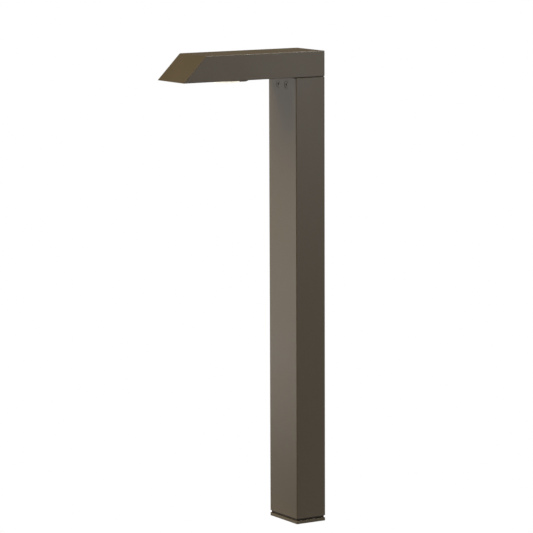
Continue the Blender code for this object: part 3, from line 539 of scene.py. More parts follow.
FINISHES: dict[Slot, Finish] = {
    Slot.BRONZE: PowderCoat((0.0637, 0.0421, 0.0155), 0.42),
    Slot.BRONZE_SCREW: TurnedSteel(linear(84, 75, 61), 0.42, metallic=0.1, tarnish=linear(74, 66, 53)),
    Slot.CASTING: Casting(linear(168, 168, 166), 0.5),
    Slot.STEEL: TurnedSteel(linear(180, 181, 184), 0.34, tarnish=linear(150, 146, 128)),
    Slot.RUBBER: RubberSkin(linear(44, 36, 28), 0.82, dust=linear(78, 70, 58)),
    Slot.LENS: FrostedLens(linear(246, 238, 220), 0.35),
    Slot.MIRROR: MirrorCoat(linear(225, 225, 228), 0.12),
    Slot.BOARD: Moulding(linear(228, 230, 228), 0.42, grain=0.3 * MM, relief=0.004 * MM, edge_tone=0.75),
    Slot.PHOSPHOR: Moulding(linear(240, 205, 90), 0.5, grain=0.7 * MM, edge_tone=1.0, emission=1.0),
    Slot.PAD: RubberSkin(linear(130, 150, 165), 0.8, dust=linear(165, 178, 188)),
    Slot.DRIVER: Moulding(linear(38, 38, 40), 0.55, relief=0.03 * MM, edge_tone=2.2),
    Slot.NYLON: Moulding(linear(232, 228, 215), 0.48, relief=0.006 * MM, edge_tone=1.05),
    Slot.SPLICE_CAP: Moulding(linear(70, 82, 120), 0.48, relief=0.02 * MM),
    Slot.BRASS: TurnedSteel(linear(186, 152, 84), 0.28, tarnish=linear(128, 98, 52)),
    Slot.LEAD_RED: Insulation(linear(165, 32, 28), 0.42),
    Slot.LEAD_BLACK: Insulation(linear(26, 26, 27), 0.42),
    Slot.LEAD_WHITE: Insulation(linear(225, 224, 220), 0.42),
    Slot.LEAD_GREEN: Insulation(linear(36, 112, 52), 0.42),
}


# ---------------------------------------------------------------- shapes

CORNER_STEPS = 8
ROUND_STEPS = 4
SHARP = math.radians(32)            # faces that meet more sharply than this keep a hard line
EASED = math.radians(30)            # edges sharper than this are rounded
MERGE = 0.002 * MM                  # points nearer than this are one point
SEAT_CLEARANCE = 0.35 * MM          # room round a flat screw's head
SEAT_RIM = 0.4 * MM                 # straight wall at the mouth of its seat
SEAT_BREAK = 0.12 * MM              # broken edge at the mouth


def rounded_rect(width: float, depth: float, radius: float, z: float,
                 centre: tuple[float, float] = (0.0, 0.0)) -> Ring:
    """Points of a rounded rectangle.

    Args:
        width: Size along X.
        depth: Size along Y.
        radius: Corner radius.
        z: Height it lies at.
        centre: Its centre, X and Y.

    Returns:
        The points, counter-clockwise from above.
    """
    points = []
    for quarter, (side, end) in enumerate(((1, 1), (-1, 1), (-1, -1), (1, -1))):
        for step in range(CORNER_STEPS + 1):
            turn = math.radians(90) * (quarter + step / CORNER_STEPS)
            x = centre[0] + side * (width / 2 - radius) + radius * math.cos(turn)
            y = centre[1] + end * (depth / 2 - radius) + radius * math.sin(turn)
            points.append(Vector((x, y, z)))
    return points


def inset_ring(width: float, depth: float, radius: float, inset: float, z: float,
               centre: tuple[float, float] = (0.0, 0.0)) -> Ring:
    """A rounded rectangle drawn in by the same amount all round."""
    return rounded_rect(width - 2 * inset, depth - 2 * inset, radius - inset, z, centre)


def circle(radius: float, z: float, segments: int, centre: tuple[float, float] = (0.0, 0.0),
           edge: Edge = Edge.ROUND) -> Ring:
    """Points of a circle, or of a hexagon whose half width across the flats is the radius.

    Args:
        radius: Radius, or half the width across the flats.
        z: Height it lies at.
        segments: Number of points.
        centre: Its centre, X and Y.
        edge: Round or hexagonal.

    Returns:
        The points, counter-clockwise from above.
    """
    points = []
    for step in range(segments):
        turn = math.tau * step / segments
        off_flat = (turn + math.pi / 6) % (math.pi / 3) - math.pi / 6
        reach = radius / math.cos(off_flat) if edge is Edge.HEXAGON else radius
        points.append(Vector((centre[0] + reach * math.cos(turn), centre[1] + reach * math.sin(turn), z)))
    return points


def rounding(radius: float, steps: int = ROUND_STEPS) -> list[tuple[float, float]]:
    """Inset and rise of the points on an outside quarter round, from the end face to the side."""
    turns = [math.radians(90) * step / steps for step in range(steps + 1)]
    return [(radius * (1 - math.sin(turn)), radius * (1 - math.cos(turn))) for turn in turns]


def arc(centre_r: float, centre_z: float, radius: float, start: float, end: float, steps: int) -> Profile:
    """Profile points along an arc, in degrees from the direction away from the axis."""
    turns = [math.radians(start + (end - start) * step / steps) for step in range(steps + 1)]
    return [(centre_r + radius * math.cos(turn), centre_z + radius * math.sin(turn)) for turn in turns]


class Shape:
    """A mesh under construction: skinned rings, then eased edges, joins and cuts."""

    def __init__(self, name: str, stacks: list[list[Ring]], closed: bool = False,
                 turn: Quaternion | None = None, at: Vector | None = None) -> None:
        """Skin one or more stacks of rings.

        Args:
            name: Name of the object.
            stacks: Stacks of rings; a ring of one point makes an apex.
            closed: True if the last ring joins the first, as in a tube.
            turn: Rotation to give the points, or None.
            at: Where to put the points after that, or None.
        """
        mesh = bpy.data.meshes.new(name)
        bm = bmesh.new()
        for rings in stacks:
            self._skin(bm, rings, closed)
        bmesh.ops.recalc_face_normals(bm, faces=bm.faces)
        if turn is not None:
            bmesh.ops.rotate(bm, verts=bm.verts, cent=(0, 0, 0), matrix=turn.to_matrix())
        if at is not None:
            bmesh.ops.translate(bm, verts=bm.verts, vec=at)
        bm.to_mesh(mesh)
        bm.free()
        self.node = bpy.data.objects.new(name, mesh)
        bpy.context.scene.collection.objects.link(self.node)
        self._tools: list[Shape] = []

    @staticmethod
    def _skin(bm: bmesh.types.BMesh, rings: list[Ring], closed: bool) -> None:
        """Skin one stack; open stacks get flat caps."""
        rows = [[bm.verts.new(point) for point in ring] for ring in rings]
        pairs = list(zip(rows, rows[1:]))
        if closed:
            pairs.append((rows[-1], rows[0]))
        else:
            for end in (rows[0], rows[-1]):
                if len(end) > 2:
                    bm.faces.new(end)
        for first, second in pairs:
            count = max(len(first), len(second))
            for i in range(count):
                j = (i + 1) % count
                corners = [first[i % len(first)], first[j % len(first)]]
                corners += [second[j % len(second)], second[i % len(second)]]
                bm.faces.new(list(dict.fromkeys(corners)))

    @classmethod
    def turned(cls, name: str, profile: Profile, at: Vector, axis: Vector = UP, segments: int = 48,
               closed: bool = False) -> "Shape":
        """Turn a profile about an axis.

        Args:
            name: Name of the object.
            profile: Entries (radius, height), with Edge.HEXAGON as a third item for a hexagon.
            at: Point that height 0 lies at.
            axis: Direction of growing height.
            segments: Points round the axis.
            closed: True if the last entry joins the first.

        Returns:
            The turned shape.
        """
        rings = []
        for radius, height, *edge in profile:
            if radius == 0:
                rings.append([Vector((0, 0, height))])
            else:
                rings.append(circle(radius, height, segments, edge=edge[0] if edge else Edge.ROUND))
        return cls(name, [rings], closed, axis.to_track_quat("Z", "Y"), Vector(at))

    def ease(self, width: float, segments: int = 4) -> "Shape":
        """Round the sharp edges."""
        bevel = self.node.modifiers.new("eased_edges", "BEVEL")
        bevel.width = width
        bevel.segments = segments
        bevel.limit_method = "ANGLE"
        bevel.angle_limit = EASED
        return self

    def _combine(self, tool: "Shape", operation: str) -> "Shape":
        """Join or cut with a tool shape."""
        step = self.node.modifiers.new(tool.node.name, "BOOLEAN")
        step.operation = operation
        step.solver = "EXACT"
        step.object = tool.node
        self._tools.append(tool)
        return self

    def cut(self, tool: "Shape") -> "Shape":
        """Cut a tool shape out of this one."""
        return self._combine(tool, "DIFFERENCE")

    def add(self, tool: "Shape") -> "Shape":
        """Join a tool shape on to this one."""
        return self._combine(tool, "UNION")

    def drill(self, centres: list[tuple[float, float]], radius: float, low: float, high: float,
              segments: int = 32) -> "Shape":
        """Cut upright round holes of one size.

        Args:
            centres: Their centres, X and Y.
            radius: Their radius.
            low: Height they start at.
            high: Height they end at.
            segments: Points round each.

        Returns:
            This shape.
        """
        stacks = [[circle(radius, z, segments, centre) for z in (low, high)] for centre in centres]
        return self.cut(Shape("holes", stacks))

    def drill_along(self, at: Vector, axis: Vector, radius: float, depth: float) -> "Shape":
        """Cut a round hole that goes in against an axis, from just outside a point."""
        profile = [(0, -depth), (radius, -depth), (radius, MM), (0, MM)]
        return self.cut(Shape.turned("hole", profile, at, axis, 32))

    def countersink(self, at: Vector, axis: Vector, thread: float, reach: float = 12 * MM) -> "Shape":
        """Cut the seat of a flat screw, with clearance all round.

        Args:
            at: Point of the surface over the screw's centre.
            axis: Direction out of the surface.
            thread: The screw's thread radius.
            reach: How deep the hole goes.

        Returns:
            This shape.
        """
        wide = 2 * thread + SEAT_CLEARANCE
        narrow = thread + GAP
        mouth = wide + SEAT_BREAK
        profile = [(0, -reach), (narrow, -reach), (narrow, narrow - wide - SEAT_RIM), (wide, -SEAT_RIM)]
        profile += [(wide, -SEAT_BREAK), (mouth, 0), (mouth, MM), (0, MM)]
        return self.cut(Shape.turned("seat", profile, at, axis, 40))

    def discard(self) -> None:
        """Remove this shape and its tools from the scene."""
        for tool in self._tools:
            tool.discard()
        mesh = self.node.data
        bpy.data.objects.remove(self.node)
        bpy.data.meshes.remove(mesh)

    def settle(self) -> bpy.types.Object:
        """Turn joins, cuts and eased edges into plain mesh with clean shading.

        Returns:
            The finished object, at the origin, with its place in its mesh.
        """
        bpy.context.view_layer.update()
        source = self.node.evaluated_get(bpy.context.evaluated_depsgraph_get())
        mesh = bpy.data.meshes.new_from_object(source)
        mesh.name = self.node.name
        self.node.modifiers.clear()
        old, self.node.data = self.node.data, mesh
        bpy.data.meshes.remove(old)
        for tool in self._tools:
            tool.discard()
        self._tools = []
        self._clean(mesh)
        mesh.shade_smooth()
        mesh.set_sharp_from_angle(angle=SHARP)
        even = self.node.modifiers.new("even_shading", "WEIGHTED_NORMAL")
        even.keep_sharp = True
        even.weight = 60
        return self.node

    @staticmethod
    def _clean(mesh: bpy.types.Mesh) -> None:
        """Merge doubled points, and report any open or doubled edge."""
        bm = bmesh.new()
        bm.from_mesh(mesh)
        bmesh.ops.remove_doubles(bm, verts=bm.verts, dist=MERGE)
        bmesh.ops.dissolve_degenerate(bm, edges=bm.edges, dist=MERGE)
        open_edges = sum(not edge.is_manifold for edge in bm.edges)
        if open_edges:
            LOG.warning("%s has %d open edges", mesh.name, open_edges)
        bm.to_mesh(mesh)
        bm.free()


def prism(name: str, size: tuple[float, float, float], low: float, high: float,
          *centres: tuple[float, float]) -> Shape:
    """Upright blocks with rounded corners.

    Args:
        name: Name of the object.
        size: Width, depth and corner radius of each.
        low: Height they start at.
        high: Height they end at.
        *centres: The centre of each, X and Y.

    Returns:
        The blocks, as one shape.
    """
    return Shape(name, [[rounded_rect(*size, z, centre) for z in (low, high)] for centre in centres])


def side_block(name: str, outline: list[tuple[float, float]], half: float) -> Shape:
    """A block from an outline seen from the side.

    Args:
        name: Name of the object.
        outline: Points (y, z).
        half: Half its width along X.

    Returns:
        The block.
    """
    return Shape(name, [[[Vector((x, y, z)) for y, z in outline] for x in (-half, half)]])


# ---------------------------------------------------------------- pieces

def middle(node: str) -> Vector:
    """Centre of a CAD node's box."""
    low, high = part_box(node)
    return (low + high) / 2


def centres(kind: str, count: int) -> list[tuple[float, float]]:
    """X and Y of the centres of the CAD nodes of one kind, numbered from 1."""
    return [tuple(middle(f"{kind}_{number}"))[:2] for number in range(1, count + 1)]


def dressed(piece: bpy.types.Object, slot: Slot, *stands_for: str) -> bpy.types.Object:
    """Give a finished piece its material and its body, and hide the CAD nodes it stands for.

    Args:
        piece: The piece.
        slot: The record's material slot.
        *stands_for: CAD nodes that it replaces.

    Returns:
        The piece.
    """
    piece.data.materials.clear()
    piece.data.materials.append(FINISHES[slot].material(f"{piece.name}_{slot.value}", middle(stands_for[0])))
    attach(piece, BODY)
    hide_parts(*stands_for)
    return piece


@dataclass
class FlatScrew:
    """Countersunk screw with a hexagon socket and a ridged thread."""

    name: str
    node: str
    axis: Vector
    thread: float
    rim: float = 0.2 * MM
    pitch: float = 0.8 * MM
    segments: int = 48
    head_size: float = 2.0              # this and the next four are in thread radii
    socket_size: float = 0.6
    mouth_depth: float = 0.12
    socket_depth: float = 0.4
    point_depth: float = 0.5
    mouth_flare: float = 1.22           # width of the socket's broken edge, in sockets

    def _thread(self, tip: float, top: float) -> Profile:
        """Ridges along the shank, from its pointed tip up to the head."""
        root = self.thread - 0.3 * self.pitch
        profile = [(0, tip), (0.7 * root, tip), (root, tip + 0.4 * self.pitch)]
        height = tip + 0.7 * self.pitch
        while height + self.pitch < top:
            profile += [(self.thread, height), (self.thread, height + 0.12 * self.pitch)]
            profile += [(root, height + 0.5 * self.pitch), (root, height + 0.62 * self.pitch)]
            height += self.pitch
        return profile

    def build(self) -> bpy.types.Object:
        """Build and dress the screw.

        Returns:
            The screw, where its CAD node is.
        """
        low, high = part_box(self.node)
        centre = (low + high) / 2
        length = abs((high - low).dot(self.axis))
        face = centre + self.axis * length / 2
        head, socket = self.head_size * self.thread, self.socket_size * self.thread
        neck = -self.thread - self.rim
        profile = self._thread(-length, neck) + [(self.thread, neck), (head, -self.rim)]
        profile += [(head - inset, -rise) for inset, rise in reversed(rounding(0.7 * self.rim, 3))]
        profile.append((self.mouth_flare * socket, 0))
        for depth in (self.mouth_depth, self.socket_depth):
            profile.append((socket, -depth * self.thread, Edge.HEXAGON))
        profile.append((0, -self.point_depth * self.thread))
        shape = Shape.turned(self.name, profile, face, self.axis, self.segments)
        return dressed(shape.settle(), Slot.BRONZE_SCREW, self.node)


@dataclass
class GrooveSeal:
    """Rubber that fills the shadow groove between the post and its neighbour."""

    name: str
    node: str
    wall: float = 1.35 * MM
    bead: float = 0.35 * MM
    corner: float = 0.6 * MM
    inner_corner: float = 0.6 * MM
    fullest: float = 0.45               # largest bead, as a share of the seal's thickness

    def build(self) -> bpy.types.Object:
        """Build and dress the seal.

        Returns:
            The seal, with a rounded outer bead.
        """
        low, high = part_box(self.node)
        width, depth = high.x - low.x, high.y - low.y
        bead = min(self.bead, self.fullest * (high.z - low.z))
        inner = (width - 2 * self.wall, depth - 2 * self.wall, self.inner_corner)
        rings = [rounded_rect(*inner, low.z)]
        for end, sign in ((low.z, 1), (high.z, -1)):
            for inset, rise in rounding(bead)[::sign]:
                rings.append(inset_ring(width, depth, self.corner, inset, end + sign * rise))
        rings.append(rounded_rect(*inner, high.z))
        return dressed(Shape(self.name, [rings], closed=True).settle(), Slot.RUBBER, self.node)


@dataclass
class Post:
    """Rectangular tube with rolled corners, and countersunk seats for its four screws."""

    wall: float = 3.2 * MM
    corner: float = 1.2 * MM
    end_round: float = 0.4 * MM
    bore_corner: float = 0.8 * MM
    bore_flare: float = 0.3 * MM
    thread: float = 2.5 * MM
    low: Vector = field(default_factory=lambda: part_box("post_tube")[0])
    high: Vector = field(default_factory=lambda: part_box("post_tube")[1])

    def _rings(self) -> list[Ring]:
        """Rings up the outside, over the top edge and down the bore."""
        width, depth = self.high.x - self.low.x, self.high.y - self.low.y
        rings = []
        for end, sign in ((self.low.z, 1), (self.high.z, -1)):
            for inset, rise in rounding(self.end_round)[::sign]:
                rings.append(inset_ring(width, depth, self.corner, inset, end + sign * rise))
        flare = self.bore_flare
        for z, wall in ((self.high.z, self.wall - flare), (self.high.z - flare, self.wall),
                        (self.low.z + flare, self.wall), (self.low.z, self.wall - flare)):
            rings.append(rounded_rect(width - 2 * wall, depth - 2 * wall, self.bore_corner, z))
        return rings

    def build(self) -> list[bpy.types.Object]:
        """Build and dress the tube.

        Returns:
            The one piece.
        """
        shape = Shape("post_shell", [self._rings()], closed=True)
        for kind, axis, face in (("neck_screw", FORWARD, self.low.y), ("base_screw", BACKWARD, self.high.y)):
            for number in (1, 2):
                centre = middle(f"{kind}_{number}")
                shape.countersink(Vector((centre.x, face, centre.z)), axis, self.thread)
        return [dressed(shape.settle(), Slot.BRONZE, "post_tube")]


@dataclass
class Foot:
    """Cast foot plate with the hollow wall that the post slides over, its seal and its screws."""

    plate: float = 4.8 * MM
    corner: float = 1.2 * MM
    edge: float = 0.4 * MM
    post_wall: float = 3.2 * MM
    wall: float = 4.5 * MM
    wall_corner: float = 1.0 * MM
    lead_in: float = 1.0 * MM
    under_edge: float = 0.2 * MM
    toe: float = 0.24 * MM              # fillet where the wall meets the plate
    pocket_corner: float = 2.0 * MM
    entry_radius: float = 8.0 * MM
    entry_y: float = 9.1 * MM
    anchor_x: float = 21.0 * MM
    slot_length: float = 14.0 * MM
    slot_breadth: float = 8.5 * MM
    earth_y: float = -9.5 * MM
    earth_radius: float = 5.5 * MM
    earth_top: float = 8.8 * MM
    earth_edge: float = 0.5 * MM
    earth_thread: float = 2.3 * MM
    thread: float = 2.5 * MM

    def _casting(self) -> Shape:
        """The plate and the wall above it, as one closed skin."""
        low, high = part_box("base_plate")
        width, depth = high.x - low.x, high.y - low.y
        plug = [size - 2 * (self.post_wall + GAP) for size in (width, depth)]
        inner = [size - 2 * self.wall for size in plug]
        under = [size - 2 * self.under_edge for size in (width, depth)]
        rings = [rounded_rect(*under, self.corner, low.z)]
        rings.append(rounded_rect(width, depth, self.corner, low.z + self.under_edge))
        for inset, rise in reversed(rounding(self.edge)):
            rings.append(inset_ring(width, depth, self.corner, inset, self.plate - rise))
        for z, growth in ((self.plate, self.toe), (self.plate + self.toe, 0.0),
                          (high.z - self.lead_in, 0.0), (high.z, -self.lead_in)):
            rings.append(rounded_rect(*[size + 2 * growth for size in plug], self.wall_corner, z))
        for z in (high.z, self.plate):
            rings.append(rounded_rect(*inner, self.pocket_corner, z))
        return Shape("foot_casting", [rings])

    def build(self) -> list[bpy.types.Object]:
        """Build and dress the foot's visible pieces.

        Returns:
            The casting, the groove seal and the two screws.
        """
        shape = self._casting()
        radius, top, edge = self.earth_radius, self.earth_top, self.earth_edge
        boss = [(0, 2 * MM), (radius, 2 * MM), (radius, top - edge), (radius - edge, top), (0, top)]
        shape.add(Shape.turned("boss", boss, (0, self.earth_y, 0)))
        shape.drill([(0, self.earth_y)], self.earth_thread, 1.6 * MM, 12 * MM)
        shape.drill([(0, self.entry_y)], self.entry_radius, -2 * MM, 8 * MM, 48)
        slot = (self.slot_length, self.slot_breadth, self.slot_breadth / 2 - 0.01 * MM)
        shape.cut(prism("slots", slot, -2 * MM, 8 * MM, (-self.anchor_x, 0), (self.anchor_x, 0)))
        plug_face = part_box("base_plate")[1].y - self.post_wall - GAP
        for node in ("base_screw_1", "base_screw_2"):
            centre = middle(node)
            shape.drill_along(Vector((centre.x, plug_face, centre.z)), BACKWARD, self.thread + GAP, 8 * MM)
        pieces = [dressed(shape.settle(), Slot.BRONZE, "base_plate")]
        pieces.append(GrooveSeal("foot_groove_seal", "base_gasket").build())
        for name, node in (("foot_screw_left", "base_screw_1"), ("foot_screw_right", "base_screw_2")):
            pieces.append(FlatScrew(name, node, BACKWARD, self.thread).build())
        return pieces


@dataclass
class Neck:
    """The groove seal and the two front screws where the head meets the post."""

    thread: float = 2.5 * MM

    def build(self) -> list[bpy.types.Object]:
        """Build and dress the neck's visible pieces.

        Returns:
            The seal and the two screws.
        """
        pieces = [GrooveSeal("neck_groove_seal", "neck_gasket").build()]
        for name, node in (("front_screw_left", "neck_screw_1"), ("front_screw_right", "neck_screw_2")):
            pieces.append(FlatScrew(name, node, FORWARD, self.thread).build())
        return pieces


@dataclass
class Head:
    """Flat hollow casting with a slanted nose."""

    edge: float = 1.0 * MM
    nose_tip: float = 0.38 * MM         # how far the eased tip stands back from the sharp one
    nose_angle: float = math.radians(45)
    side_wall: float = 3.0 * MM
    roof: float = 4.0 * MM
    floor: float = 7.0 * MM
    nose_wall: float = 3.5 * MM
    ledge: float = 3.8 * MM
    cover_corner: float = 6.3 * MM
    aperture: tuple[float, float, float] = (51.0 * MM, 81.0 * MM, 8.0 * MM)
    aperture_y: float = -119.5 * MM
    wire_hole: float = 6.0 * MM
    bolt_hole: float = 2.8 * MM
    small_hole: float = 1.8 * MM
    plate_hole_depth: float = 2.6 * MM
    hollow_edge: float = 1.5 * MM
    box: tuple[Vector, Vector] = field(default_factory=lambda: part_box("head_housing"))

    def _outline(self, back: float, low: float, high: float, inset: float) -> list[tuple[float, float]]:
        """Side view of the head, or of a face set in behind its nose.

        Args:
            back: Y of the back face.
            low: Height of the underside.
            high: Height of the top.
            inset: How far the nose face is set in.

        Returns:
            Points (y, z).
        """
        tip = self.box[0].y - self.nose_tip

        def nose(z: float) -> float:
            """Y of the nose face at a height."""
            rise = (z - self.box[0].z) / math.tan(self.nose_angle)
            return tip + rise + inset / math.sin(self.nose_angle)

        return [(back, low), (back, high), (nose(high), high), (nose(low), low)]

    def build(self) -> list[bpy.types.Object]:
        """Build and dress the casting.

        Returns:
            The one piece.
        """
        low, high = self.box
        half = (high.x - low.x) / 2
        shape = side_block("head_casting", self._outline(high.y, low.z, high.z, 0.0), half)
        shape.ease(self.edge, 5)
        ceiling = high.z - self.roof
        inside = self._outline(high.y - self.side_wall, low.z + self.floor, ceiling, self.nose_wall)
        shape.cut(side_block("hollow", inside, half - self.side_wall).ease(self.hollow_edge, 3))
        cover_low, cover_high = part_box("underside_cover")
        size = cover_high - cover_low
        centre = ((cover_low.x + cover_high.x) / 2, (cover_low.y + cover_high.y) / 2)
        rebate = (size.x + 2 * GAP, size.y + 2 * GAP, self.cover_corner)
        shape.cut(prism("rebate", rebate, low.z - MM, low.z + self.ledge, centre))
        above = low.z + self.floor + MM
        shape.cut(prism("aperture", self.aperture, low.z, above, (0, self.aperture_y)))
        shape.drill([(0, 0)], self.wire_hole, low.z - MM, above)
        shape.drill(centres("neck_bolt", 4), self.bolt_hole, low.z - MM, above, 24)
        shape.drill(centres("cover_screw", 4), self.small_hole, low.z, above, 24)
        plates = centres("heat_plate_screw", 2)
        shape.drill(plates, self.small_hole, ceiling - MM, ceiling + self.plate_hole_depth, 24)
        return [dressed(shape.settle(), Slot.BRONZE, "head_housing")]


@dataclass
class Lamp:
    """Underside cover with its screws, the bezel with its glare shield, and the lens."""

    cover_edge: float = 0.4 * MM
    cover_corner: float = 6.0 * MM
    bezel_edge: float = 0.9 * MM
    bezel_drop: float = 1.2 * MM        # how far the ring stands below the cover
    lip: float = 0.6 * MM               # rounding of the ring's inner edge
    shield_width: float = 35.0 * MM
    shield_start: float = 12.0 * MM
    shield_edge: float = 0.8 * MM
    shield_back: float = 1.4 * MM       # how thick the shield is at its back end
    flange: float = 1.7 * MM
    lens_wall: float = 2.0 * MM
    lens_edge: float = 2.2 * MM
    lens_ledge: float = 2.5 * MM        # how far the flange stands out from the face
    flange_edge: float = 0.2 * MM
    crown: float = 0.4 * MM
    lens_gap: float = 0.4 * MM
    m3: float = 1.5 * MM
    m2_5: float = 1.25 * MM
    segments: int = 96

    def _lens_sizes(self) -> tuple[Vector, float, float, float]:
        """Centre, flange radius, face radius and flange underside of the lens."""
        low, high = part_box("lens")
        centre = (low + high) / 2
        flange = (high.x - low.x) / 2
        return centre, flange, flange - self.lens_ledge, high.z - self.flange

    def _cover(self) -> bpy.types.Object:
        """Flush plate with eased lower edges, the lamp opening and four countersunk seats."""
        low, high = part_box("underside_cover")
        size = high - low
        centre, flange, _, seat = self._lens_sizes()
        bezel_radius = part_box("lens_bezel")[1].x
        place = (0.0, (low.y + high.y) / 2)
        rings = []
        for inset, rise in rounding(self.cover_edge, 3):
            rings.append(inset_ring(size.x, size.y, self.cover_corner, inset, low.z + rise, place))
        rings.append(rounded_rect(size.x, size.y, self.cover_corner, high.z, place))
        shape = Shape("head_cover", [rings])
        lamp = [(0.0, centre.y)]
        shape.drill(lamp, flange + self.lens_gap, low.z - MM, high.z + MM, self.segments)
        shape.drill(lamp, bezel_radius + GAP, low.z - MM, seat, self.segments)
        for screw in centres("cover_screw", 4):
            shape.countersink(Vector((*screw, low.z)), DOWN, self.m3)
        shape.drill(centres("bezel_screw", 3), self.m2_5 + GAP, low.z - MM, high.z + MM, 24)
        return dressed(shape.settle(), Slot.BRONZE, "underside_cover")

    def _bezel(self) -> bpy.types.Object:
        """Ring with rounded edges and a raised shield on the post's side."""
        low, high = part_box("lens_bezel")
        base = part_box("underside_cover")[0].z
        centre, _, face, seat = self._lens_sizes()
        radius, bore = high.x, face + self.lens_gap
        bottom, top = base - self.bezel_drop, seat - GAP
        edge, lip = self.bezel_edge, self.lip
        profile = [(bore, bottom + lip)]
        profile += arc(bore + lip, bottom + lip, lip, 180, 270, 4)[1:]
        profile += arc(radius - edge, bottom + edge, edge, 270, 360, 6)
        profile += [(radius, top), (bore, top)]
        shape = Shape.turned("lamp_bezel", profile, (0, centre.y, 0), UP, self.segments, closed=True)
        half = self.shield_width / 2
        start, top_z = centre.y + self.shield_start, base - GAP
        flat_end = (start + 2 * high.y) / 3
        outline = [(start, top_z), (start, low.z), (flat_end, low.z)]
        outline += [(high.y, base - self.shield_back), (high.y, top_z)]
        shape.add(side_block("shield", outline, half).ease(self.shield_edge, 4))
        shape.drill([(0.0, centre.y)], bore - 0.02 * MM, base - 8 * MM, base + 4 * MM, self.segments)
        for screw in centres("bezel_screw", 3):
            shape.countersink(Vector((*screw, bottom)), DOWN, self.m2_5)
        return dressed(shape.settle(), Slot.BRONZE, "lens_bezel")

    def _lens(self) -> bpy.types.Object:
        """Shallow cup with a flange and a slightly crowned face."""
        low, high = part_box("lens")
        centre, flange, face, seat = self._lens_sizes()
        edge, crown, wall, chamfer = self.lens_edge, self.crown, self.lens_wall, self.flange_edge
        inner = face - wall
        flat = face - edge
        profile = [(0, low.z)]
        profile += [(flat * share, low.z + crown * share ** 2) for share in (0.25, 0.5, 0.75)]
        profile += arc(flat, low.z + crown + edge, edge, 270, 360, 8)
        profile += [(face, seat), (flange - chamfer, seat), (flange, seat + chamfer)]
        profile += [(flange, high.z - chamfer), (flange - chamfer, high.z), (inner, high.z)]
        profile += [(inner, low.z + wall + crown + MM), (inner - 1.2 * MM, low.z + wall + crown)]
        profile += [(0, low.z + wall)]
        shape = Shape.turned("lamp_lens", profile, (0, centre.y, 0), UP, self.segments)
        return dressed(shape.settle(), Slot.LENS, "lens")

    def build(self) -> list[bpy.types.Object]:
        """Build and dress the lamp's visible pieces.

        Returns:
            Cover, bezel, lens and their seven screws.
        """
        pieces = [self._cover(), self._bezel(), self._lens()]
        for kind, count, thread in (("cover_screw", 4, self.m3), ("bezel_screw", 3, self.m2_5)):
            for number in range(1, count + 1):
                name = f"lamp_{kind}_{'abcd'[number - 1]}"
                pieces.append(FlatScrew(name, f"{kind}_{number}", DOWN, thread, pitch=0.5 * MM).build())
        return pieces


@dataclass
class Works:
    """The pieces inside, which keep their CAD shape and get their finish here."""

    record: dict = field(default_factory=lambda: frame["record"])

    def build(self) -> list[bpy.types.Object]:
        """Dress every CAD node that still shows.

        Returns:
            The dressed nodes.
        """
        slots = {part["node"]: Slot(part["material_slot"]) for part in self.record["subparts"]}
        pieces = []
        for name, node in sorted(frame["nodes"].items()):
            if node.hide_render:
                continue
            slot = slots[name]
            material = FINISHES[slot].material(f"{name}_{slot.value}", middle(name))
            node.data.materials.clear()
            node.data.materials.append(material)
            pieces.append(node)
        return pieces


# ---------------------------------------------------------------- studio

def bearing(azimuth: float, elevation: float) -> tuple[Vector, Vector]:
    """Direction out to a lamp or the camera, and the level one to its right.

    Args:
        azimuth: Degrees; 0 is in front, 90 on the +X side.
        elevation: Degrees above level.

    Returns:
        The two directions.
    """
    turn, rise = math.radians(azimuth), math.radians(elevation)
    out = Vector((math.sin(turn) * math.cos(rise), -math.cos(turn) * math.cos(rise), math.sin(rise)))
    return out, Vector((math.cos(turn), math.sin(turn), 0))


def staged(name: str, bm: bmesh.types.BMesh, material: bpy.types.Material) -> bpy.types.Object:
    """Turn a finished mesh into a part of the studio.

    Args:
        name: Name of the object.
        bm: Its mesh, which is used up.
        material: Its material.

    Returns:
        The object.
    """
    mesh = bpy.data.meshes.new(name)
    bm.to_mesh(mesh)
    bm.free()
    mesh.materials.append(material)
    node = bpy.data.objects.new(name, mesh)
    bpy.context.scene.collection.objects.link(node)
    return node


@dataclass(frozen=True)
class SoftBox:
    """A large soft lamp that the camera doesn't see."""

    name: str
    azimuth: float                      # degrees, as the camera's: 0 is in front, 90 on the +X side
    elevation: float
    distance: float
    width: float
    height: float
    radiance: float
    laid_flat: bool = False             # True for one that lies on the floor and faces up

    def build(self, aim: Vector) -> bpy.types.Object:
        """Put the lamp up.

        Args:
            aim: Point that it faces.

        Returns:
            The lamp.
        """
        out, across = bearing(self.azimuth, self.elevation)
        lamp = bpy.data.lights.new(self.name, "AREA")
        lamp.shape = "RECTANGLE"
        lamp.size, lamp.size_y = self.width, self.height
        lamp.energy = self.radiance * math.pi * self.width * self.height
        node = bpy.data.objects.new(self.name, lamp)
        place, back = aim + out * self.distance, out
        if self.laid_flat:
            place, back = Vector((place.x, place.y, 2 * MM)), DOWN
        axes = Matrix((across, back.cross(across), back)).transposed().to_4x4()
        node.matrix_world = Matrix.Translation(place) @ axes
        node.visible_camera = False
        bpy.context.scene.collection.objects.link(node)
        return node


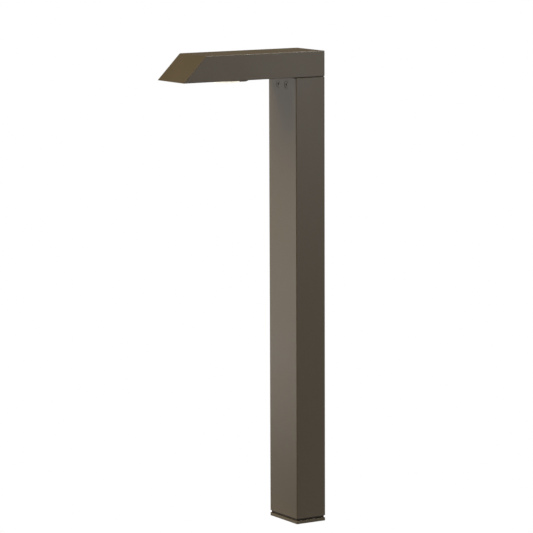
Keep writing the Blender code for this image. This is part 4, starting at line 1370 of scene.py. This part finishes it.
@dataclass
class Studio:
    """Plain pale floor, soft lamps and the camera."""

    aim: Vector = field(default_factory=lambda: Vector((0, 0, 0.3556)))
    floor_half: float = 60.0
    floor_drop: float = 0.4 * MM
    floor_seen: float = 1.0             # how bright the floor looks
    floor_glow: float = 0.79            # how much light it throws up
    card_reach: tuple[float, float] = (0.06, 3.0)   # how near and how far the black card goes
    card_sweep: tuple[float, float] = (0.0, 58.0)
    card_steps: int = 12
    sky: float = 0.086                  # how much light the room gives; it looks as bright as the floor
    azimuth: float = 57.61
    elevation: float = 8.37
    roll: float = -0.22
    distance: float = 4.740
    focal: float = 212.9
    sensor: float = 36.0
    clip: tuple[float, float] = (0.05, 300.0)
    framing: tuple[float, float] = (-0.0460, 0.0297)    # how far to the right and up of aim it looks
    lamps: tuple[SoftBox, ...] = (
        SoftBox("key", -9.0, 38.0, 3.0, 2.0, 1.4, 11.8),
        SoftBox("behind", 180.0, 50.0, 3.0, 1.2, 1.2, 22.0),
        SoftBox("overhead", 60.0, 84.0, 3.0, 2.6, 2.6, 0.25),
        SoftBox("side", 122.0, 12.0, 1.8, 0.9, 0.7, 2.71),
        SoftBox("left", -58.0, 8.0, 3.0, 1.2, 0.8, 1.61),
        SoftBox("reflector", -61.0, 0.0, 1.9, 3.6, 2.3, 1.24, laid_flat=True),
    )

    def _floor(self) -> None:
        """Lay the floor."""
        bm = bmesh.new()
        bmesh.ops.create_grid(bm, x_segments=8, y_segments=8, size=self.floor_half,
                              matrix=Matrix.Translation((0, 0, -self.floor_drop)))
        graph = Graph("pale_floor")
        paint = graph.dress(BLACK, 1.0, Specular_IOR_Level=0.0, Emission_Color=(1.0, 1.0, 1.0, 1.0))
        seen = graph.add("ShaderNodeLightPath").outputs["Is Camera Ray"]
        graph.feed(graph.shader.inputs["Emission Strength"],
                   graph.spread(seen, 0.0, 1.0, self.floor_glow, self.floor_seen))
        staged("floor", bm, paint)

    def _card(self) -> None:
        """Lay a black card on the floor in front, unseen by the camera, to keep the near corner dark."""
        start, end = self.card_sweep
        steps = self.card_steps
        outs = [bearing(start + (end - start) * step / steps, 0.0)[0] for step in range(steps + 1)]
        near, far = self.card_reach
        bm = bmesh.new()
        outline = [near * out for out in outs] + [far * out for out in reversed(outs)]
        bm.faces.new([bm.verts.new(point) for point in outline])
        paint = Graph("dark_card").dress(BLACK, 1.0, Specular_IOR_Level=0.0)
        staged("dark_card", bm, paint).visible_camera = False

    def _world(self) -> None:
        """Give the room an even soft light."""
        world = bpy.data.worlds.new("room")
        world.use_nodes = True
        nodes, links = world.node_tree.nodes, world.node_tree.links
        backdrop = nodes["Background"]
        backdrop.inputs["Color"].default_value = (1, 1, 1, 1)
        strength = nodes.new("ShaderNodeMapRange")
        strength.inputs["To Min"].default_value = self.sky
        strength.inputs["To Max"].default_value = self.floor_seen
        links.new(nodes.new("ShaderNodeLightPath").outputs["Is Camera Ray"], strength.inputs["Value"])
        links.new(strength.outputs["Result"], backdrop.inputs["Strength"])
        bpy.context.scene.world = world

    def _camera(self) -> None:
        """Stand the camera where it looks at the light from its front and side."""
        back, right = bearing(self.azimuth, self.elevation)
        place = self.aim + back * self.distance
        look_at = self.aim + right * self.framing[0] + back.cross(right) * self.framing[1]
        back = (place - look_at).normalized()
        right = UP.cross(back).normalized()
        upward = back.cross(right)
        cos, sin = math.cos(math.radians(self.roll)), math.sin(math.radians(self.roll))
        right, upward = cos * right + sin * upward, cos * upward - sin * right
        camera = bpy.data.cameras.new("camera")
        camera.lens = self.focal
        camera.sensor_width = self.sensor
        camera.clip_start, camera.clip_end = self.clip
        node = bpy.data.objects.new("camera", camera)
        rotation = Matrix((right, upward, back)).transposed().to_4x4()
        node.matrix_world = Matrix.Translation(place) @ rotation
        bpy.context.scene.collection.objects.link(node)
        bpy.context.scene.camera = node

    def build(self) -> None:
        """Set up the room, the lamps and the camera."""
        scene = bpy.context.scene
        scene.view_settings.view_transform = "Standard"
        scene.cycles.use_denoising = True
        self._floor()
        self._card()
        self._world()
        self._camera()
        for lamp in self.lamps:
            lamp.build(self.aim)


def main() -> None:
    """Build the studio and then the light, one sub-assembly after another."""
    logging.basicConfig(level=logging.INFO, format="%(name)s: %(message)s")
    Studio().build()
    for assembly in (Foot(), Post(), Neck(), Head(), Lamp(), Works()):
        for piece in assembly.build():
            LOG.info("%s: %s, %d faces", type(assembly).__name__, piece.name, len(piece.data.polygons))


if __name__ == "__main__":
    main()
